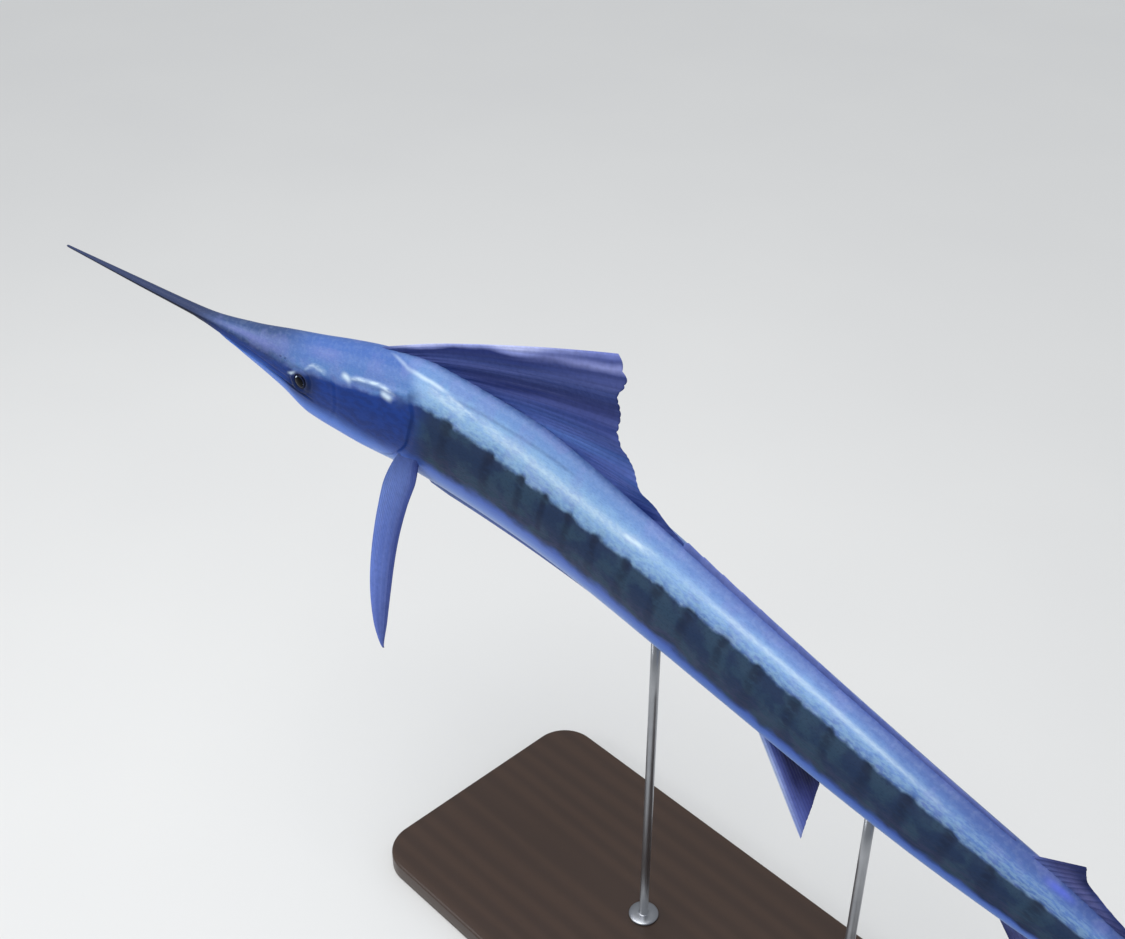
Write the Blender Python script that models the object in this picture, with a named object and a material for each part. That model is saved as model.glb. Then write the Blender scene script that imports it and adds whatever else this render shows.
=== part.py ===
"""A life-size sailfish, head turned to its left and nose raised, on a plain display stand.

The body is a stack of closed sections on a bent axis. Fins are thin grids with their rays raised
in their own surface. Shares are parts of LENGTH, measured from the tip of the lower jaw towards
the tail; side is to the fish's left and up is towards its back. Turns run round a section from
the back (0) down either side to the belly (180 degrees). All else is in metres.
"""
import math

import bmesh
import bpy
import numpy as np
from mathutils import Vector

# Overall size, the clearance between neighbouring solids, and how deep a root is set before it is cut
LENGTH = 1.80
GAP = 0.0003
EMBED = 0.006

# Pose: turns of the axis seen from above, dip of the head, and lift of the whole nose
HEAD_TURN = math.radians(14.4)
TAIL_TURN = math.radians(6.5)
HEAD_DIP = 0.109
NOSE_LIFT = math.radians(12.6)
TURN_FROM, TURN_TO = 0.20, 0.55
DIP_FROM, DIP_SOFTNESS = 0.25, 0.04
BILL_RISE, BILL_RISE_FROM, BILL_RISE_SOFTNESS = 0.045, 0.02, 0.03
MIDDLE = 0.45
MIDDLE_X = -0.16
MIDDLE_HEIGHT = 0.73

# Body sections: share along, back above the axis, belly below it, half width (all shares)
SECTIONS = (
    (-0.159, 0.0013, 0.0013, 0.0014),
    (-0.080, 0.0030, 0.0030, 0.0040),
    (0.000, 0.0052, 0.0050, 0.0064),
    (0.060, 0.0155, 0.0238, 0.0112),
    (0.098, 0.0255, 0.0368, 0.0162),
    (0.130, 0.0338, 0.0517, 0.0202),
    (0.160, 0.0425, 0.0552, 0.0228),
    (0.190, 0.0501, 0.0572, 0.0248),
    (0.250, 0.0605, 0.0560, 0.0268),
    (0.330, 0.0610, 0.0572, 0.0272),
    (0.450, 0.0485, 0.0585, 0.0258),
    (0.600, 0.0400, 0.0521, 0.0232),
    (0.720, 0.0353, 0.0446, 0.0198),
    (0.815, 0.0312, 0.0343, 0.0160),
    (0.900, 0.0212, 0.0215, 0.0115),
    (0.955, 0.0172, 0.0172, 0.0088),
    (0.985, 0.0195, 0.0195, 0.0066),
)
BACK, BELLY, HALF_WIDTH = 1, 2, 3
SIDES = 36
CREST_NARROWING = 0.16
SIDE_CROWDING = 0.15

# Where the body is divided: the cut behind the head leans forward at the nape and at the throat
BILL_TIP, BILL_END = -0.159, 0.035
MOUTH_CORNER = 0.140
HEAD_END = 0.242
NAPE_SLANT, THROAT_SLANT, SLANT_REACH = 0.042, 0.030, 0.050
TORSO_CUTS = (HEAD_END, 0.42, 0.62, 0.82, 0.985)
TORSO_NAMES = ("torso_front", "torso_middle", "torso_rear", "tail_stem")
TORSO_RINGS = (9, 8, 8, 9)

# Mouth: drop of the line between the jaws, where it starts and ends, and the lips beside it
MOUTH_START_DROP = 0.0047
MOUTH_SLOPE = 0.102
MOUTH_START, MOUTH_START_SOFTNESS = 0.010, 0.040
MOUTH_ROW = 11
LIP_FULLNESS = 0.0009
LIP_INSET, LIP_INSET_FROM = 0.0014, 0.02

# Eyes, lids, brow and nostrils
EYE_ALONG = 0.1250
EYE_TURN = math.radians(86)
EYE_RADIUS = 0.018
EYE_DEPTH = 0.012
EYE_SINK = 0.0085
LID_RADIUS = 0.0165
LID_WIDTH = 0.0040
LID_HEIGHT = 0.0018
BROW_HEIGHT, BROW_ABOVE_EYE = 0.0014, 0.024
BROW_LENGTH, BROW_WIDTH = 0.030, 0.008
NOSTRIL_PLACES = ((0.1000, math.radians(68)), (0.1055, math.radians(67)))
NOSTRIL_RADIUS = 0.0024

# Gill covers: plates from the cheek to just over the shoulder, free at the rear edge
COVER_TOP, COVER_BOTTOM = math.radians(56), math.radians(150)
COVER_FRONT, COVER_FRONT_ROUND = 0.172, 0.020
COVER_REAR = ((0.0, 0.2330), (0.20, 0.2415), (0.46, 0.2395), (0.72, 0.2265), (1.0, 0.2000))
COVER_THICKNESS, COVER_THINNING = 0.0026, 0.0008
COVER_PROUD = 0.0016
COVER_ROWS, COVER_COLUMNS = 10, 9

# Keels on the tail stem, two each side
KEEL_ALONG, KEEL_REACH = 0.962, 0.026
KEEL_TURNS = (math.radians(76), math.radians(104))
KEEL_HEIGHT, KEEL_WIDTH = 0.0055, math.radians(9)

# Fin thicknesses: webs, rays at the root and at the edge, and a ray's share of its space
WEB = 0.0010
RAY_ROOT, RAY_TIP = 0.0034, 0.0012
RAY_SHARE = 0.22

# The sail: base, and its torn rear edge (step, share along, share above the axis)
SAIL_START, SAIL_END = 0.186, 0.489
SAIL_EDGE = (
    (0.00, 0.3985, 0.1652),
    (0.05, 0.4045, 0.1610),
    (0.13, 0.4115, 0.1475),
    (0.24, 0.4055, 0.1270),
    (0.34, 0.4085, 0.1105),
    (0.52, 0.4225, 0.0870),
    (0.68, 0.4390, 0.0675),
    (0.82, 0.4560, 0.0588),
    (1.00, 0.4890, 0.0485),
)
SAIL_SPREAD = 0.74
SAIL_RAYS, SAIL_FRONT_RAYS = 24, 8
SAIL_ROWS = 8
SAIL_SEAM = 0.0004
SAIL_RIPPLE = 0.0045
SAIL_RIPPLES = 3.5
SAIL_ARCH = 0.0012

# The rest of the first dorsal fin, folded down along the back
FOLDED_START, FOLDED_END = 0.493, 0.790
FOLDED_HEIGHT, FOLDED_WIDTH = 0.0064, 0.0030
FOLDED_LIFT = 0.0005
FOLDED_RINGS, FOLDED_SIDES = 10, 8

# Small fins of the middle plane: name, way (1 back, -1 belly), base from and to, rays, rows,
# thickness of the rays at the root, and the edge (step, share along, share above the axis)
MIDDLE_FINS = (
    ("second_dorsal_fin", 1, 0.800, 0.862, 7, 5, 0.0026,
     ((0.0, 0.8325, 0.0552), (0.35, 0.8385, 0.0440), (0.60, 0.8500, 0.0385), (1.0, 0.8920, 0.0270))),
    ("first_anal_fin", -1, 0.588, 0.650, 9, 6, 0.0034,
     ((0.0, 0.6620, -0.1248), (0.4, 0.6595, -0.0950), (1.0, 0.6570, -0.0580))),
    ("second_anal_fin", -1, 0.800, 0.852, 6, 5, 0.0026,
     ((0.0, 0.8310, -0.0600), (0.55, 0.8500, -0.0410), (1.0, 0.8820, -0.0320))),
)

# Tail fin: root, edge of one lobe from its tip by a control point to the fork, and its curve
CAUDAL_ROOT, CAUDAL_ROOT_LENGTH, CAUDAL_ROOT_ROUND = 0.962, 0.016, 0.7
CAUDAL_ROOT_HEIGHT, CAUDAL_SEAM = 0.0165, 0.0001
CAUDAL_TIP, CAUDAL_CONTROL, CAUDAL_FORK = (1.118, 0.205), (1.030, 0.085), (1.004, CAUDAL_SEAM)
CAUDAL_SPREAD = 1.6
CAUDAL_SWEEP, CAUDAL_FULLNESS = 0.022, 0.45
CAUDAL_RAYS, CAUDAL_ROWS, CAUDAL_RAY_ROOT = 9, 7, 0.0060

# Pectoral fins: root from and to (share along, turn), reach and chord (along, side, up), widths
PECTORAL_ROOT = ((0.2310, math.radians(125)), (0.2495, math.radians(118)))
PECTORAL_REACH = (0.0610, 0.0923, -0.1127)
PECTORAL_CHORD = (0.82, 0.0, 0.573)
PECTORAL_WIDTHS = (
    (0.00, 0.0210), (0.16, 0.0365), (0.42, 0.0320), (0.66, 0.0275), (0.86, 0.0180), (1.00, 0.0016),
)
PECTORAL_BOW, PECTORAL_BOW_FULLNESS = 0.0190, 0.7
PECTORAL_TWIST_END, PECTORAL_LEAD = 0.25, 0.45
PECTORAL_RAYS, PECTORAL_ROWS, PECTORAL_RAY_ROOT = 7, 8, 0.0050

# Pelvic fins: narrow blades laid back along the belly
PELVIC_START, PELVIC_LENGTH = 0.252, 0.214
PELVIC_SIDE, PELVIC_CLOSING = 0.0052, 0.25
PELVIC_WIDTH, PELVIC_THICKNESS = 0.0050, 0.0030
PELVIC_HANG = 0.0008
PELVIC_ROOT_SIZE, PELVIC_ROOT_REACH, PELVIC_TIP_SIZE = 0.55, 0.10, 0.25
PELVIC_RINGS, PELVIC_SIDES = 10, 8

# Stand
BASE_LENGTH, BASE_WIDTH, BASE_HEIGHT = 1.04, 0.44, 0.030
BASE_CORNER, BASE_EDGE, CORNER_POINTS = 0.060, 0.004, 7
ROD_PLACES = (("stand_rod_front", 0.490), ("stand_rod_rear", 0.700))
ROD_RADIUS, FOOT_RADIUS, FOOT_HEIGHT = 0.007, 0.024, 0.006
FOOT_RIM, FOOT_SLOPE = 0.6, 0.85
ROD_SPARE, ROD_SIDES = 0.020, 20

SHARP_ANGLE = math.radians(40)


def smooth_curve(points, x):
    """Value at x of a smooth curve without overshoot through (place, value) points."""
    knots, values = np.array(points, dtype=float).T
    step = np.diff(knots)
    slope = np.diff(values) / step
    tangent = np.zeros_like(values)
    tangent[0], tangent[-1] = slope[0], slope[-1]
    product = slope[:-1] * slope[1:]
    total = slope[:-1] + slope[1:]
    same_way = product > 0
    tangent[1:-1][same_way] = 2 * product[same_way] / total[same_way]
    x = np.clip(x, knots[0], knots[-1])
    i = np.clip(np.searchsorted(knots, x, side="right") - 1, 0, len(knots) - 2)
    t = (x - knots[i]) / step[i]
    start = values[i] * (1 + 2 * t) * (1 - t) ** 2 + tangent[i] * step[i] * t * (1 - t) ** 2
    end = values[i + 1] * t * t * (3 - 2 * t) + tangent[i + 1] * step[i] * t * t * (t - 1)
    return start + end


def section_size(along, column):
    """One size of the body's section at a share along it: BACK, BELLY or HALF_WIDTH."""
    return smooth_curve([(row[0], row[column]) for row in SECTIONS], along)


def heading(along):
    """Turn of the axis from straight, seen from above: the head to the left, the tail to the right."""
    head = np.clip((TURN_TO - along) / (TURN_TO - TURN_FROM), 0, 1)
    tail = np.clip((along - TURN_TO) / (1 - TURN_TO), 0, 1)
    return HEAD_TURN * head * head * (3 - 2 * head) + TAIL_TURN * tail * tail


# The bent axis seen from above, summed up in small steps and set to zero at MIDDLE
AXIS_SHARES = np.linspace(-0.2, 1.3, 601)
AXIS_STEP = AXIS_SHARES[1] - AXIS_SHARES[0]
AXIS_TURNS = heading(AXIS_SHARES)
AXIS_X = np.cumsum(np.cos(AXIS_TURNS)) * AXIS_STEP
AXIS_Y = np.cumsum(np.sin(AXIS_TURNS)) * AXIS_STEP
AXIS_X -= np.interp(MIDDLE, AXIS_SHARES, AXIS_X)
AXIS_Y -= np.interp(MIDDLE, AXIS_SHARES, AXIS_Y)


def soft_ramp(distance, softness):
    """Zero behind, and ahead a slope of one that starts smoothly."""
    return np.hypot(np.clip(distance, 0, None), softness) - softness


def place(along, side, up):
    """World points of places in the fish's own frame, all three given as shares of its length."""
    along, side, up = np.broadcast_arrays(along, side, up)
    turn = heading(along)
    dip = HEAD_DIP * soft_ramp(DIP_FROM - along, DIP_SOFTNESS)
    dip = dip - BILL_RISE * soft_ramp(BILL_RISE_FROM - along, BILL_RISE_SOFTNESS)
    x = (np.interp(along, AXIS_SHARES, AXIS_X) + side * np.sin(turn)) * LENGTH
    y = (np.interp(along, AXIS_SHARES, AXIS_Y) - side * np.cos(turn)) * LENGTH
    z = (up - dip) * LENGTH
    lift_cos, lift_sin = math.cos(NOSE_LIFT), math.sin(NOSE_LIFT)
    world_x = MIDDLE_X + x * lift_cos + z * lift_sin
    world_z = MIDDLE_HEIGHT - x * lift_sin + z * lift_cos
    return np.stack((world_x, y, world_z), -1)


def mouth_height(along):
    """Height of the line between the jaws, as a share above the axis."""
    return -MOUTH_START_DROP - MOUTH_SLOPE * along


def half_turns(along):
    """Turns down the left half of a section, one of them on the mouth's line where there is one."""
    even = np.linspace(0, math.pi, SIDES // 2 + 1)
    turns = even + SIDE_CROWDING * np.sin(2 * even)
    back, belly = section_size(along, BACK), section_size(along, BELLY)
    level = (mouth_height(along) - (back - belly) / 2) / ((back + belly) / 2)
    at_mouth = math.acos(float(np.clip(level, -0.98, 0.98)))
    past = float(np.clip((along - MOUTH_CORNER) / (HEAD_END - MOUTH_CORNER), 0, 1))
    before = float(np.clip((MOUTH_START - along) / MOUTH_START_SOFTNESS, 0, 1))
    rest = turns[MOUTH_ROW]
    wanted = rest + (at_mouth - rest) * (1 - past) * (1 - before)
    lower = math.pi - (math.pi - turns) * (math.pi - wanted) / (math.pi - rest)
    return np.where(turns <= rest, turns * wanted / rest, lower)


def section_point(along, turn, proud=0.0):
    """Side and up, in shares, of the skin at a turn round the section, moved proud metres outwards."""
    back, belly, width = (section_size(along, column) for column in (BACK, BELLY, HALF_WIDTH))
    middle, half = (back - belly) / 2, (back + belly) / 2
    upper = np.clip(np.cos(turn), 0, 1)
    side = width * np.sin(turn) * (1 - CREST_NARROWING * upper * upper)
    up = middle + half * np.cos(turn)
    across, over = np.sin(turn) / width, np.cos(turn) / half
    size = np.hypot(across, over)
    return side + proud / LENGTH * across / size, up + proud / LENGTH * over / size


def relief(along, turn):
    """Height of the lids, brow and keels above the plain skin, in metres."""
    half_section = (section_size(along, BACK) + section_size(along, BELLY)) / 2 * LENGTH
    below_eye = (turn - EYE_TURN) * half_section
    behind_eye = (along - EYE_ALONG) * LENGTH
    from_eye = np.hypot(behind_eye, below_eye)
    lids = LID_HEIGHT * np.exp(-((from_eye - LID_RADIUS) / LID_WIDTH) ** 2)
    from_brow = (behind_eye / BROW_LENGTH) ** 2 + ((below_eye + BROW_ABOVE_EYE) / BROW_WIDTH) ** 2
    keels = sum(np.exp(-((turn - keel) / KEEL_WIDTH) ** 2) for keel in KEEL_TURNS)
    keels = keels * KEEL_HEIGHT * np.exp(-((along - KEEL_ALONG) / KEEL_REACH) ** 4)
    return lids + BROW_HEIGHT * np.exp(-from_brow) + keels


def slanted(along, turn):
    """Share along the body after the rings behind the head lean forward at the nape and throat."""
    lean = np.exp(-((along - HEAD_END) / SLANT_REACH) ** 2)
    at_back = ((1 + np.cos(turn)) / 2) ** 2
    at_belly = ((1 - np.cos(turn)) / 2) ** 2
    return along - lean * (NAPE_SLANT * at_back + THROAT_SLANT * at_belly)


def ring(along, part="whole", proud=0.0):
    """World points round one section. Part keeps the whole, or what is over or under the mouth's line."""
    turns = half_turns(along)
    spots = slanted(along, turns)
    lift = proud + relief(spots, turns)
    rows = np.arange(len(turns))
    if part != "whole":
        lift = lift + LIP_FULLNESS * (np.abs(rows - MOUTH_ROW) == 1)
        lift = lift - LIP_INSET * (rows == MOUTH_ROW) * (along > LIP_INSET_FROM)
    side, up = section_point(spots, turns, lift)
    last = len(turns) - 1
    if part == "over":
        level = mouth_height(along) + GAP / 2 / LENGTH
        side = np.where(rows > MOUTH_ROW, side[MOUTH_ROW] * (last - rows) / (last - MOUTH_ROW), side)
        up = np.where(rows >= MOUTH_ROW, level, up)
    if part == "under":
        level = mouth_height(along) - GAP / 2 / LENGTH
        side = np.where(rows < MOUTH_ROW, side[MOUTH_ROW] * rows / MOUTH_ROW, side)
        up = np.where(rows <= MOUTH_ROW, level, up)
    left = place(spots, side, up)
    right = place(spots, -side, up)
    return np.concatenate((left, right[-2:0:-1]))


def make_material(name, colour, roughness, metallic=0.0):
    """A plain material of one colour."""
    material = bpy.data.materials.new(name)
    material.use_nodes = True
    shader = material.node_tree.nodes["Principled BSDF"]
    shader.inputs["Base Color"].default_value = (*colour, 1.0)
    shader.inputs["Roughness"].default_value = roughness
    shader.inputs["Metallic"].default_value = metallic
    material.diffuse_color = (*colour, 1.0)
    return material


def make_object(name, points, faces, material):
    """A closed smooth-shaded object from points and triangles, turned so that its faces point out."""
    points = np.asarray(points, dtype=float)
    faces = np.asarray(faces, dtype=int)
    a, b, c = points[faces[:, 0]], points[faces[:, 1]], points[faces[:, 2]]
    if np.einsum("ij,ij->i", a, np.cross(b, c)).sum() < 0:
        faces = faces[:, ::-1]
    mesh = bpy.data.meshes.new(name)
    mesh.from_pydata(points.tolist(), [], faces.tolist())
    mesh.validate()
    mesh.materials.append(material)
    mesh.shade_smooth()
    mesh.set_sharp_from_angle(angle=SHARP_ANGLE)
    obj = bpy.data.objects.new(name, mesh)
    bpy.context.scene.collection.objects.link(obj)
    return obj


def loft(name, rings, material):
    """A closed solid through rings of equal count, with a fan over each end."""
    rings = np.asarray(rings)
    count, sides = rings.shape[:2]
    points = np.concatenate((rings.reshape(-1, 3), [rings[0].mean(0), rings[-1].mean(0)]))
    grid = np.arange(count * sides).reshape(count, sides)
    a, d = grid[:-1], grid[1:]
    b, c = np.roll(a, -1, axis=1), np.roll(d, -1, axis=1)
    upper = np.stack((a, b, c), -1).reshape(-1, 3)
    lower = np.stack((a, c, d), -1).reshape(-1, 3)
    first, last = grid[0], grid[-1]
    start = np.stack((np.roll(first, -1), first, np.full(sides, count * sides)), -1)
    end = np.stack((last, np.roll(last, -1), np.full(sides, count * sides + 1)), -1)
    return make_object(name, points, np.concatenate((upper, lower, start, end)), material)


def slab(name, outer, inner, material):
    """A thin closed solid between two grids of world points, split into triangles alike on both faces."""
    rows, columns = outer.shape[:2]
    points = np.concatenate((outer.reshape(-1, 3), inner.reshape(-1, 3)))
    front = np.arange(rows * columns).reshape(rows, columns)
    back = front + rows * columns
    faces = []
    for grid, turned in ((front, False), (back, True)):
        a, b, c, d = grid[:-1, :-1], grid[:-1, 1:], grid[1:, 1:], grid[1:, :-1]
        for triangle in ((a, b, c), (a, c, d)):
            order = triangle[::-1] if turned else triangle
            faces.append(np.stack(order, -1).reshape(-1, 3))
    rim_front = np.concatenate((front[0, :-1], front[:-1, -1], front[-1, :0:-1], front[:0:-1, 0]))
    rim_back = rim_front + rows * columns
    next_front, next_back = np.roll(rim_front, -1), np.roll(rim_back, -1)
    faces.append(np.stack((next_front, rim_front, rim_back), -1))
    faces.append(np.stack((next_front, rim_back, next_back), -1))
    return make_object(name, points, np.concatenate(faces), material)


def sheet(name, middle, half_thickness, material):
    """A thin closed solid that lies to both sides of a grid of world points."""
    normal = np.cross(np.gradient(middle, axis=0), np.gradient(middle, axis=1))
    normal /= np.linalg.norm(normal, axis=2, keepdims=True)
    offset = normal * half_thickness[..., None]
    return slab(name, middle + offset, middle - offset, material)


def closed_parts(mesh):
    """The groups of faces of a bmesh that hang together."""
    groups = []
    seen = set()
    for face in mesh.faces:
        if face in seen:
            continue
        group = [face]
        seen.add(face)
        for member in group:
            for edge in member.edges:
                for other in edge.link_faces:
                    if other not in seen:
                        seen.add(other)
                        group.append(other)
        groups.append(group)
    return groups


def cut(target, cutters):
    """Take closed cutters out of an object, keep its largest closed surface, and cut that into triangles."""
    for cutter in cutters:
        modifier = target.modifiers.new("cut", "BOOLEAN")
        modifier.operation = "DIFFERENCE"
        modifier.solver = "EXACT"
        modifier.object = cutter
    evaluated = target.evaluated_get(bpy.context.evaluated_depsgraph_get())
    result = bpy.data.meshes.new_from_object(evaluated)
    target.modifiers.clear()
    work = bmesh.new()
    work.from_mesh(result)
    bmesh.ops.remove_doubles(work, verts=work.verts, dist=2e-5)
    groups = closed_parts(work)
    largest = max(groups, key=lambda group: sum(face.calc_area() for face in group))
    spare = [face for group in groups if group is not largest for face in group]
    bmesh.ops.delete(work, geom=spare, context="FACES")
    bmesh.ops.triangulate(work, faces=work.faces, quad_method="BEAUTY", ngon_method="BEAUTY")
    work.to_mesh(result)
    work.free()
    result.materials.clear()
    result.materials.append(target.data.materials[0])
    result.shade_smooth()
    result.set_sharp_from_angle(angle=SHARP_ANGLE)
    target.data = result


def remove(objects):
    """Delete cutters that have done their work."""
    for obj in objects:
        bpy.data.objects.remove(obj, do_unlink=True)


def ray_columns(rays, first=0, last=None):
    """Places from 0 to 1 across a fin, three to a ray, and which of them are crests.

    A fin in two pieces takes the rays from first up to last, with a seam's width left off.
    """
    last = rays if last is None else last
    centres = (np.arange(first, last) + 0.5) / rays
    half = RAY_SHARE / rays
    places = np.sort(np.concatenate((centres - half, centres, centres + half)))
    start = first / rays + (SAIL_SEAM if first > 0 else 0)
    end = last / rays - (SAIL_SEAM if last < rays else 0)
    places = np.concatenate(([start], places, [end]))
    crests = np.concatenate(([first == 0], np.tile((False, True, False), last - first), [False]))
    return places, crests


def ray_thickness(steps, crests, root=RAY_ROOT):
    """Half thickness over a fin's grid: rays thin from root to tip, webs between them stay even."""
    rays = root + (RAY_TIP - root) * steps[:, None]
    return np.where(crests[None, :], rays, WEB) / 2


def base_line(start, end, way, across):
    """Share along and share up of a fin's base, sunk into the back or the belly."""
    along = start + (end - start) * across
    return along, way * (section_size(along, BACK if way > 0 else BELLY) - EMBED / LENGTH)


def edge_line(points, step):
    """Share along and share up of a fin's edge through (step, along, up) points."""
    along = smooth_curve([(row[0], row[1]) for row in points], step)
    up = smooth_curve([(row[0], row[2]) for row in points], step)
    return along, up


def fan(base, edge, steps):
    """Grid of share along and share up for straight rays from a fin's base to its edge."""
    along = base[0] + (edge[0] - base[0]) * steps[:, None]
    up = base[1] + (edge[1] - base[1]) * steps[:, None]
    return along, up


def build_bill(material):
    """The long upper bill from its tip to the front of the head."""
    free = BILL_TIP * (1 - np.linspace(0, 1, 7) ** 1.3) - 0.002
    rings = [ring(along) for along in free]
    rings += [ring(along, "over") for along in (0.004, 0.020, BILL_END - GAP / LENGTH)]
    return loft("bill", rings, material)


def build_lower_jaw(material):
    """The lower jaw under the mouth's line."""
    places = (0.002, 0.010, 0.030, 0.060, 0.090, 0.116, MOUTH_CORNER - 1.5 * GAP / LENGTH)
    return loft("lower_jaw", [ring(along, "under") for along in places], material)


def head_places():
    """Shares of the head's rings before and behind the mouth's corner, closer round the eye."""
    over = np.concatenate((np.linspace(BILL_END, 0.106, 6), np.linspace(0.112, MOUTH_CORNER, 9)))
    whole = np.linspace(0.146, HEAD_END - GAP / 2 / LENGTH, 9)
    return over, np.concatenate(([MOUTH_CORNER + 0.0006], whole))


def build_head(material):
    """The skull and throat without bill, lower jaw, eyes and gill covers."""
    over, whole = head_places()
    rings = [ring(along, "over") for along in over] + [ring(along) for along in whole]
    return loft("head", rings, material)


def torso_places(index):
    """Shares of the rings of one length of the torso."""
    start, end = TORSO_CUTS[index], TORSO_CUTS[index + 1]
    last = end if index == len(TORSO_NAMES) - 1 else end - GAP / 2 / LENGTH
    return np.linspace(start + GAP / 2 / LENGTH, last, TORSO_RINGS[index])


def build_torso(material):
    """The four lengths of the body behind the head."""
    nodes = []
    for index, name in enumerate(TORSO_NAMES):
        nodes.append(loft(name, [ring(along) for along in torso_places(index)], material))
    return nodes


def body_cutter(material):
    """The whole body behind the mouth, larger by the gap, to fit roots against."""
    places = list(head_places()[1])
    for index in range(len(TORSO_NAMES)):
        places += list(torso_places(index))
    cutter = loft("body_cutter", [ring(along, proud=GAP) for along in places], material)
    cutter.hide_render = True
    cutter.display_type = "WIRE"
    return cutter


def surface_frame(along, turn):
    """Point, outward normal and tailward direction on the skin, as world vectors."""
    def spot(shift_along=0.0, shift_turn=0.0):
        side, up = section_point(along + shift_along, turn + shift_turn)
        return Vector(place(along + shift_along, side, up))

    small = 1e-3
    tailward = (spot(small) - spot(-small)).normalized()
    downward = (spot(0, small) - spot(0, -small)).normalized()
    normal = tailward.cross(downward).normalized()
    middle = Vector(place(along, 0.0, 0.0))
    if normal.dot(spot() - middle) < 0:
        normal.negate()
    return spot(), normal, tailward


def ball(name, frame, sink, radius, depth, material, sides=14, levels=7):
    """A closed ellipsoid sunk below a place on the skin, flattened along the skin's normal."""
    spot, normal, tailward = frame
    centre = np.array(spot - normal * sink)
    third = normal.cross(tailward).normalized()
    axes = np.array((third.cross(normal).normalized(), third, normal))
    level = np.linspace(0, math.pi, levels + 1)[1:-1, None]
    turn = np.arange(sides) * 2 * math.pi / sides
    around = radius * np.sin(level)
    height = depth * np.cos(level) * np.ones(sides)
    shape = np.stack((around * np.cos(turn), around * np.sin(turn), height), -1)
    obj = loft(name, shape @ axes + centre, material)
    for index, end in ((-2, depth), (-1, -depth)):
        obj.data.vertices[index].co = axes[2] * end + centre
    return obj


def build_eyes(head, material):
    """Both eyeballs, set in sockets cut into the head, and the nostrils."""
    hollows = []
    for name, mirror in (("eye_left", 1), ("eye_right", -1)):
        frame = surface_frame(EYE_ALONG, EYE_TURN * mirror)
        ball(name, frame, EYE_SINK, EYE_RADIUS, EYE_DEPTH, material)
        socket = (EYE_RADIUS + 2 * GAP, EYE_DEPTH + 2 * GAP)
        hollows.append(ball(name + "_socket", frame, EYE_SINK, *socket, material))
        for along, turn in NOSTRIL_PLACES:
            frame = surface_frame(along, turn * mirror)
            hollows.append(ball("nostril", frame, 0.0, NOSTRIL_RADIUS, NOSTRIL_RADIUS, material, 6, 4))
    cut(head, hollows)
    remove(hollows)


def cover_plate(name, mirror, material, spare=0.0):
    """One gill cover, or with spare metres all round it the space that it needs."""
    steps = np.linspace(0, 1, COVER_COLUMNS)
    down = np.linspace(0, 1, COVER_ROWS)[:, None]
    plate_height = (section_size(HEAD_END, BACK) + section_size(HEAD_END, BELLY)) / 2 * LENGTH
    turn = COVER_TOP + (COVER_BOTTOM - COVER_TOP) * down + (2 * down - 1) * spare / plate_height
    front = COVER_FRONT + COVER_FRONT_ROUND * (2 * down - 1) ** 2 - spare / LENGTH
    rear = smooth_curve(COVER_REAR, down) + spare / LENGTH
    along = front + (rear - front) * steps
    turn = turn + 0 * along
    outer = COVER_PROUD * steps ** 2 + 0 * along + 4 * spare
    inner = COVER_THINNING * steps ** 2 + 0 * along - COVER_THICKNESS - spare
    grids = []
    for proud in (outer, inner):
        side, up = section_point(along, turn, proud)
        grids.append(place(along, side * mirror, up))
    return slab(name, *grids, material)


def build_gill_covers(head, shoulder, material):
    """Both gill covers, sunk into the head and the shoulder behind it."""
    spaces = []
    for name, mirror in (("gill_cover_left", 1), ("gill_cover_right", -1)):
        cover_plate(name, mirror, material)
        spaces.append(cover_plate(name + "_space", mirror, material, GAP))
    cut(head, spaces)
    cut(shoulder, spaces)
    remove(spaces)


def build_sail(body, material):
    """The raised front of the first dorsal fin, swept back, its rear edge ragged, in two pieces."""
    steps = np.linspace(0, 1, SAIL_ROWS)
    pieces = (("sail_front", 0, SAIL_FRONT_RAYS), ("sail_rear", SAIL_FRONT_RAYS, SAIL_RAYS))
    for name, first, last in pieces:
        across, crests = ray_columns(SAIL_RAYS, first, last)
        base = base_line(SAIL_START, SAIL_END, 1, across)
        along, up = fan(base, edge_line(SAIL_EDGE, across ** SAIL_SPREAD), steps)
        arch = SAIL_ARCH * (1 - across) ** 3 * np.sin(math.pi * steps[:, None] ** 0.7)
        ripple = SAIL_RIPPLE * (1 - across) * np.sin(2 * math.pi * SAIL_RIPPLES * across)
        side = ripple * steps[:, None] ** 1.3
        sail = sheet(name, place(along, side, up + arch), ray_thickness(steps, crests), material)
        cut(sail, [body])


def build_folded_sail(body, material):
    """The rear of the first dorsal fin, folded down along the back."""
    turn = np.arange(FOLDED_SIDES) * 2 * math.pi / FOLDED_SIDES
    rings = []
    for step in np.linspace(0, 1, FOLDED_RINGS):
        along = FOLDED_START + (FOLDED_END - FOLDED_START) * step
        size = (1 - 0.75 * step) ** 0.8
        side = FOLDED_WIDTH / 2 * size * np.sin(turn)
        up = section_size(along, BACK) + FOLDED_HEIGHT * size * np.cos(turn) + FOLDED_LIFT
        rings.append(place(along, side, up))
    cut(loft("sail_folded", rings, material), [body])


def build_middle_fins(body, material):
    """The second dorsal fin and both anal fins."""
    for name, way, start, end, rays, rows, root, edge in MIDDLE_FINS:
        across, crests = ray_columns(rays)
        steps = np.linspace(0, 1, rows)
        along, up = fan(base_line(start, end, way, across), edge_line(edge, across), steps)
        fin = sheet(name, place(along, 0.0, up), ray_thickness(steps, crests, root), material)
        cut(fin, [body])


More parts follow.
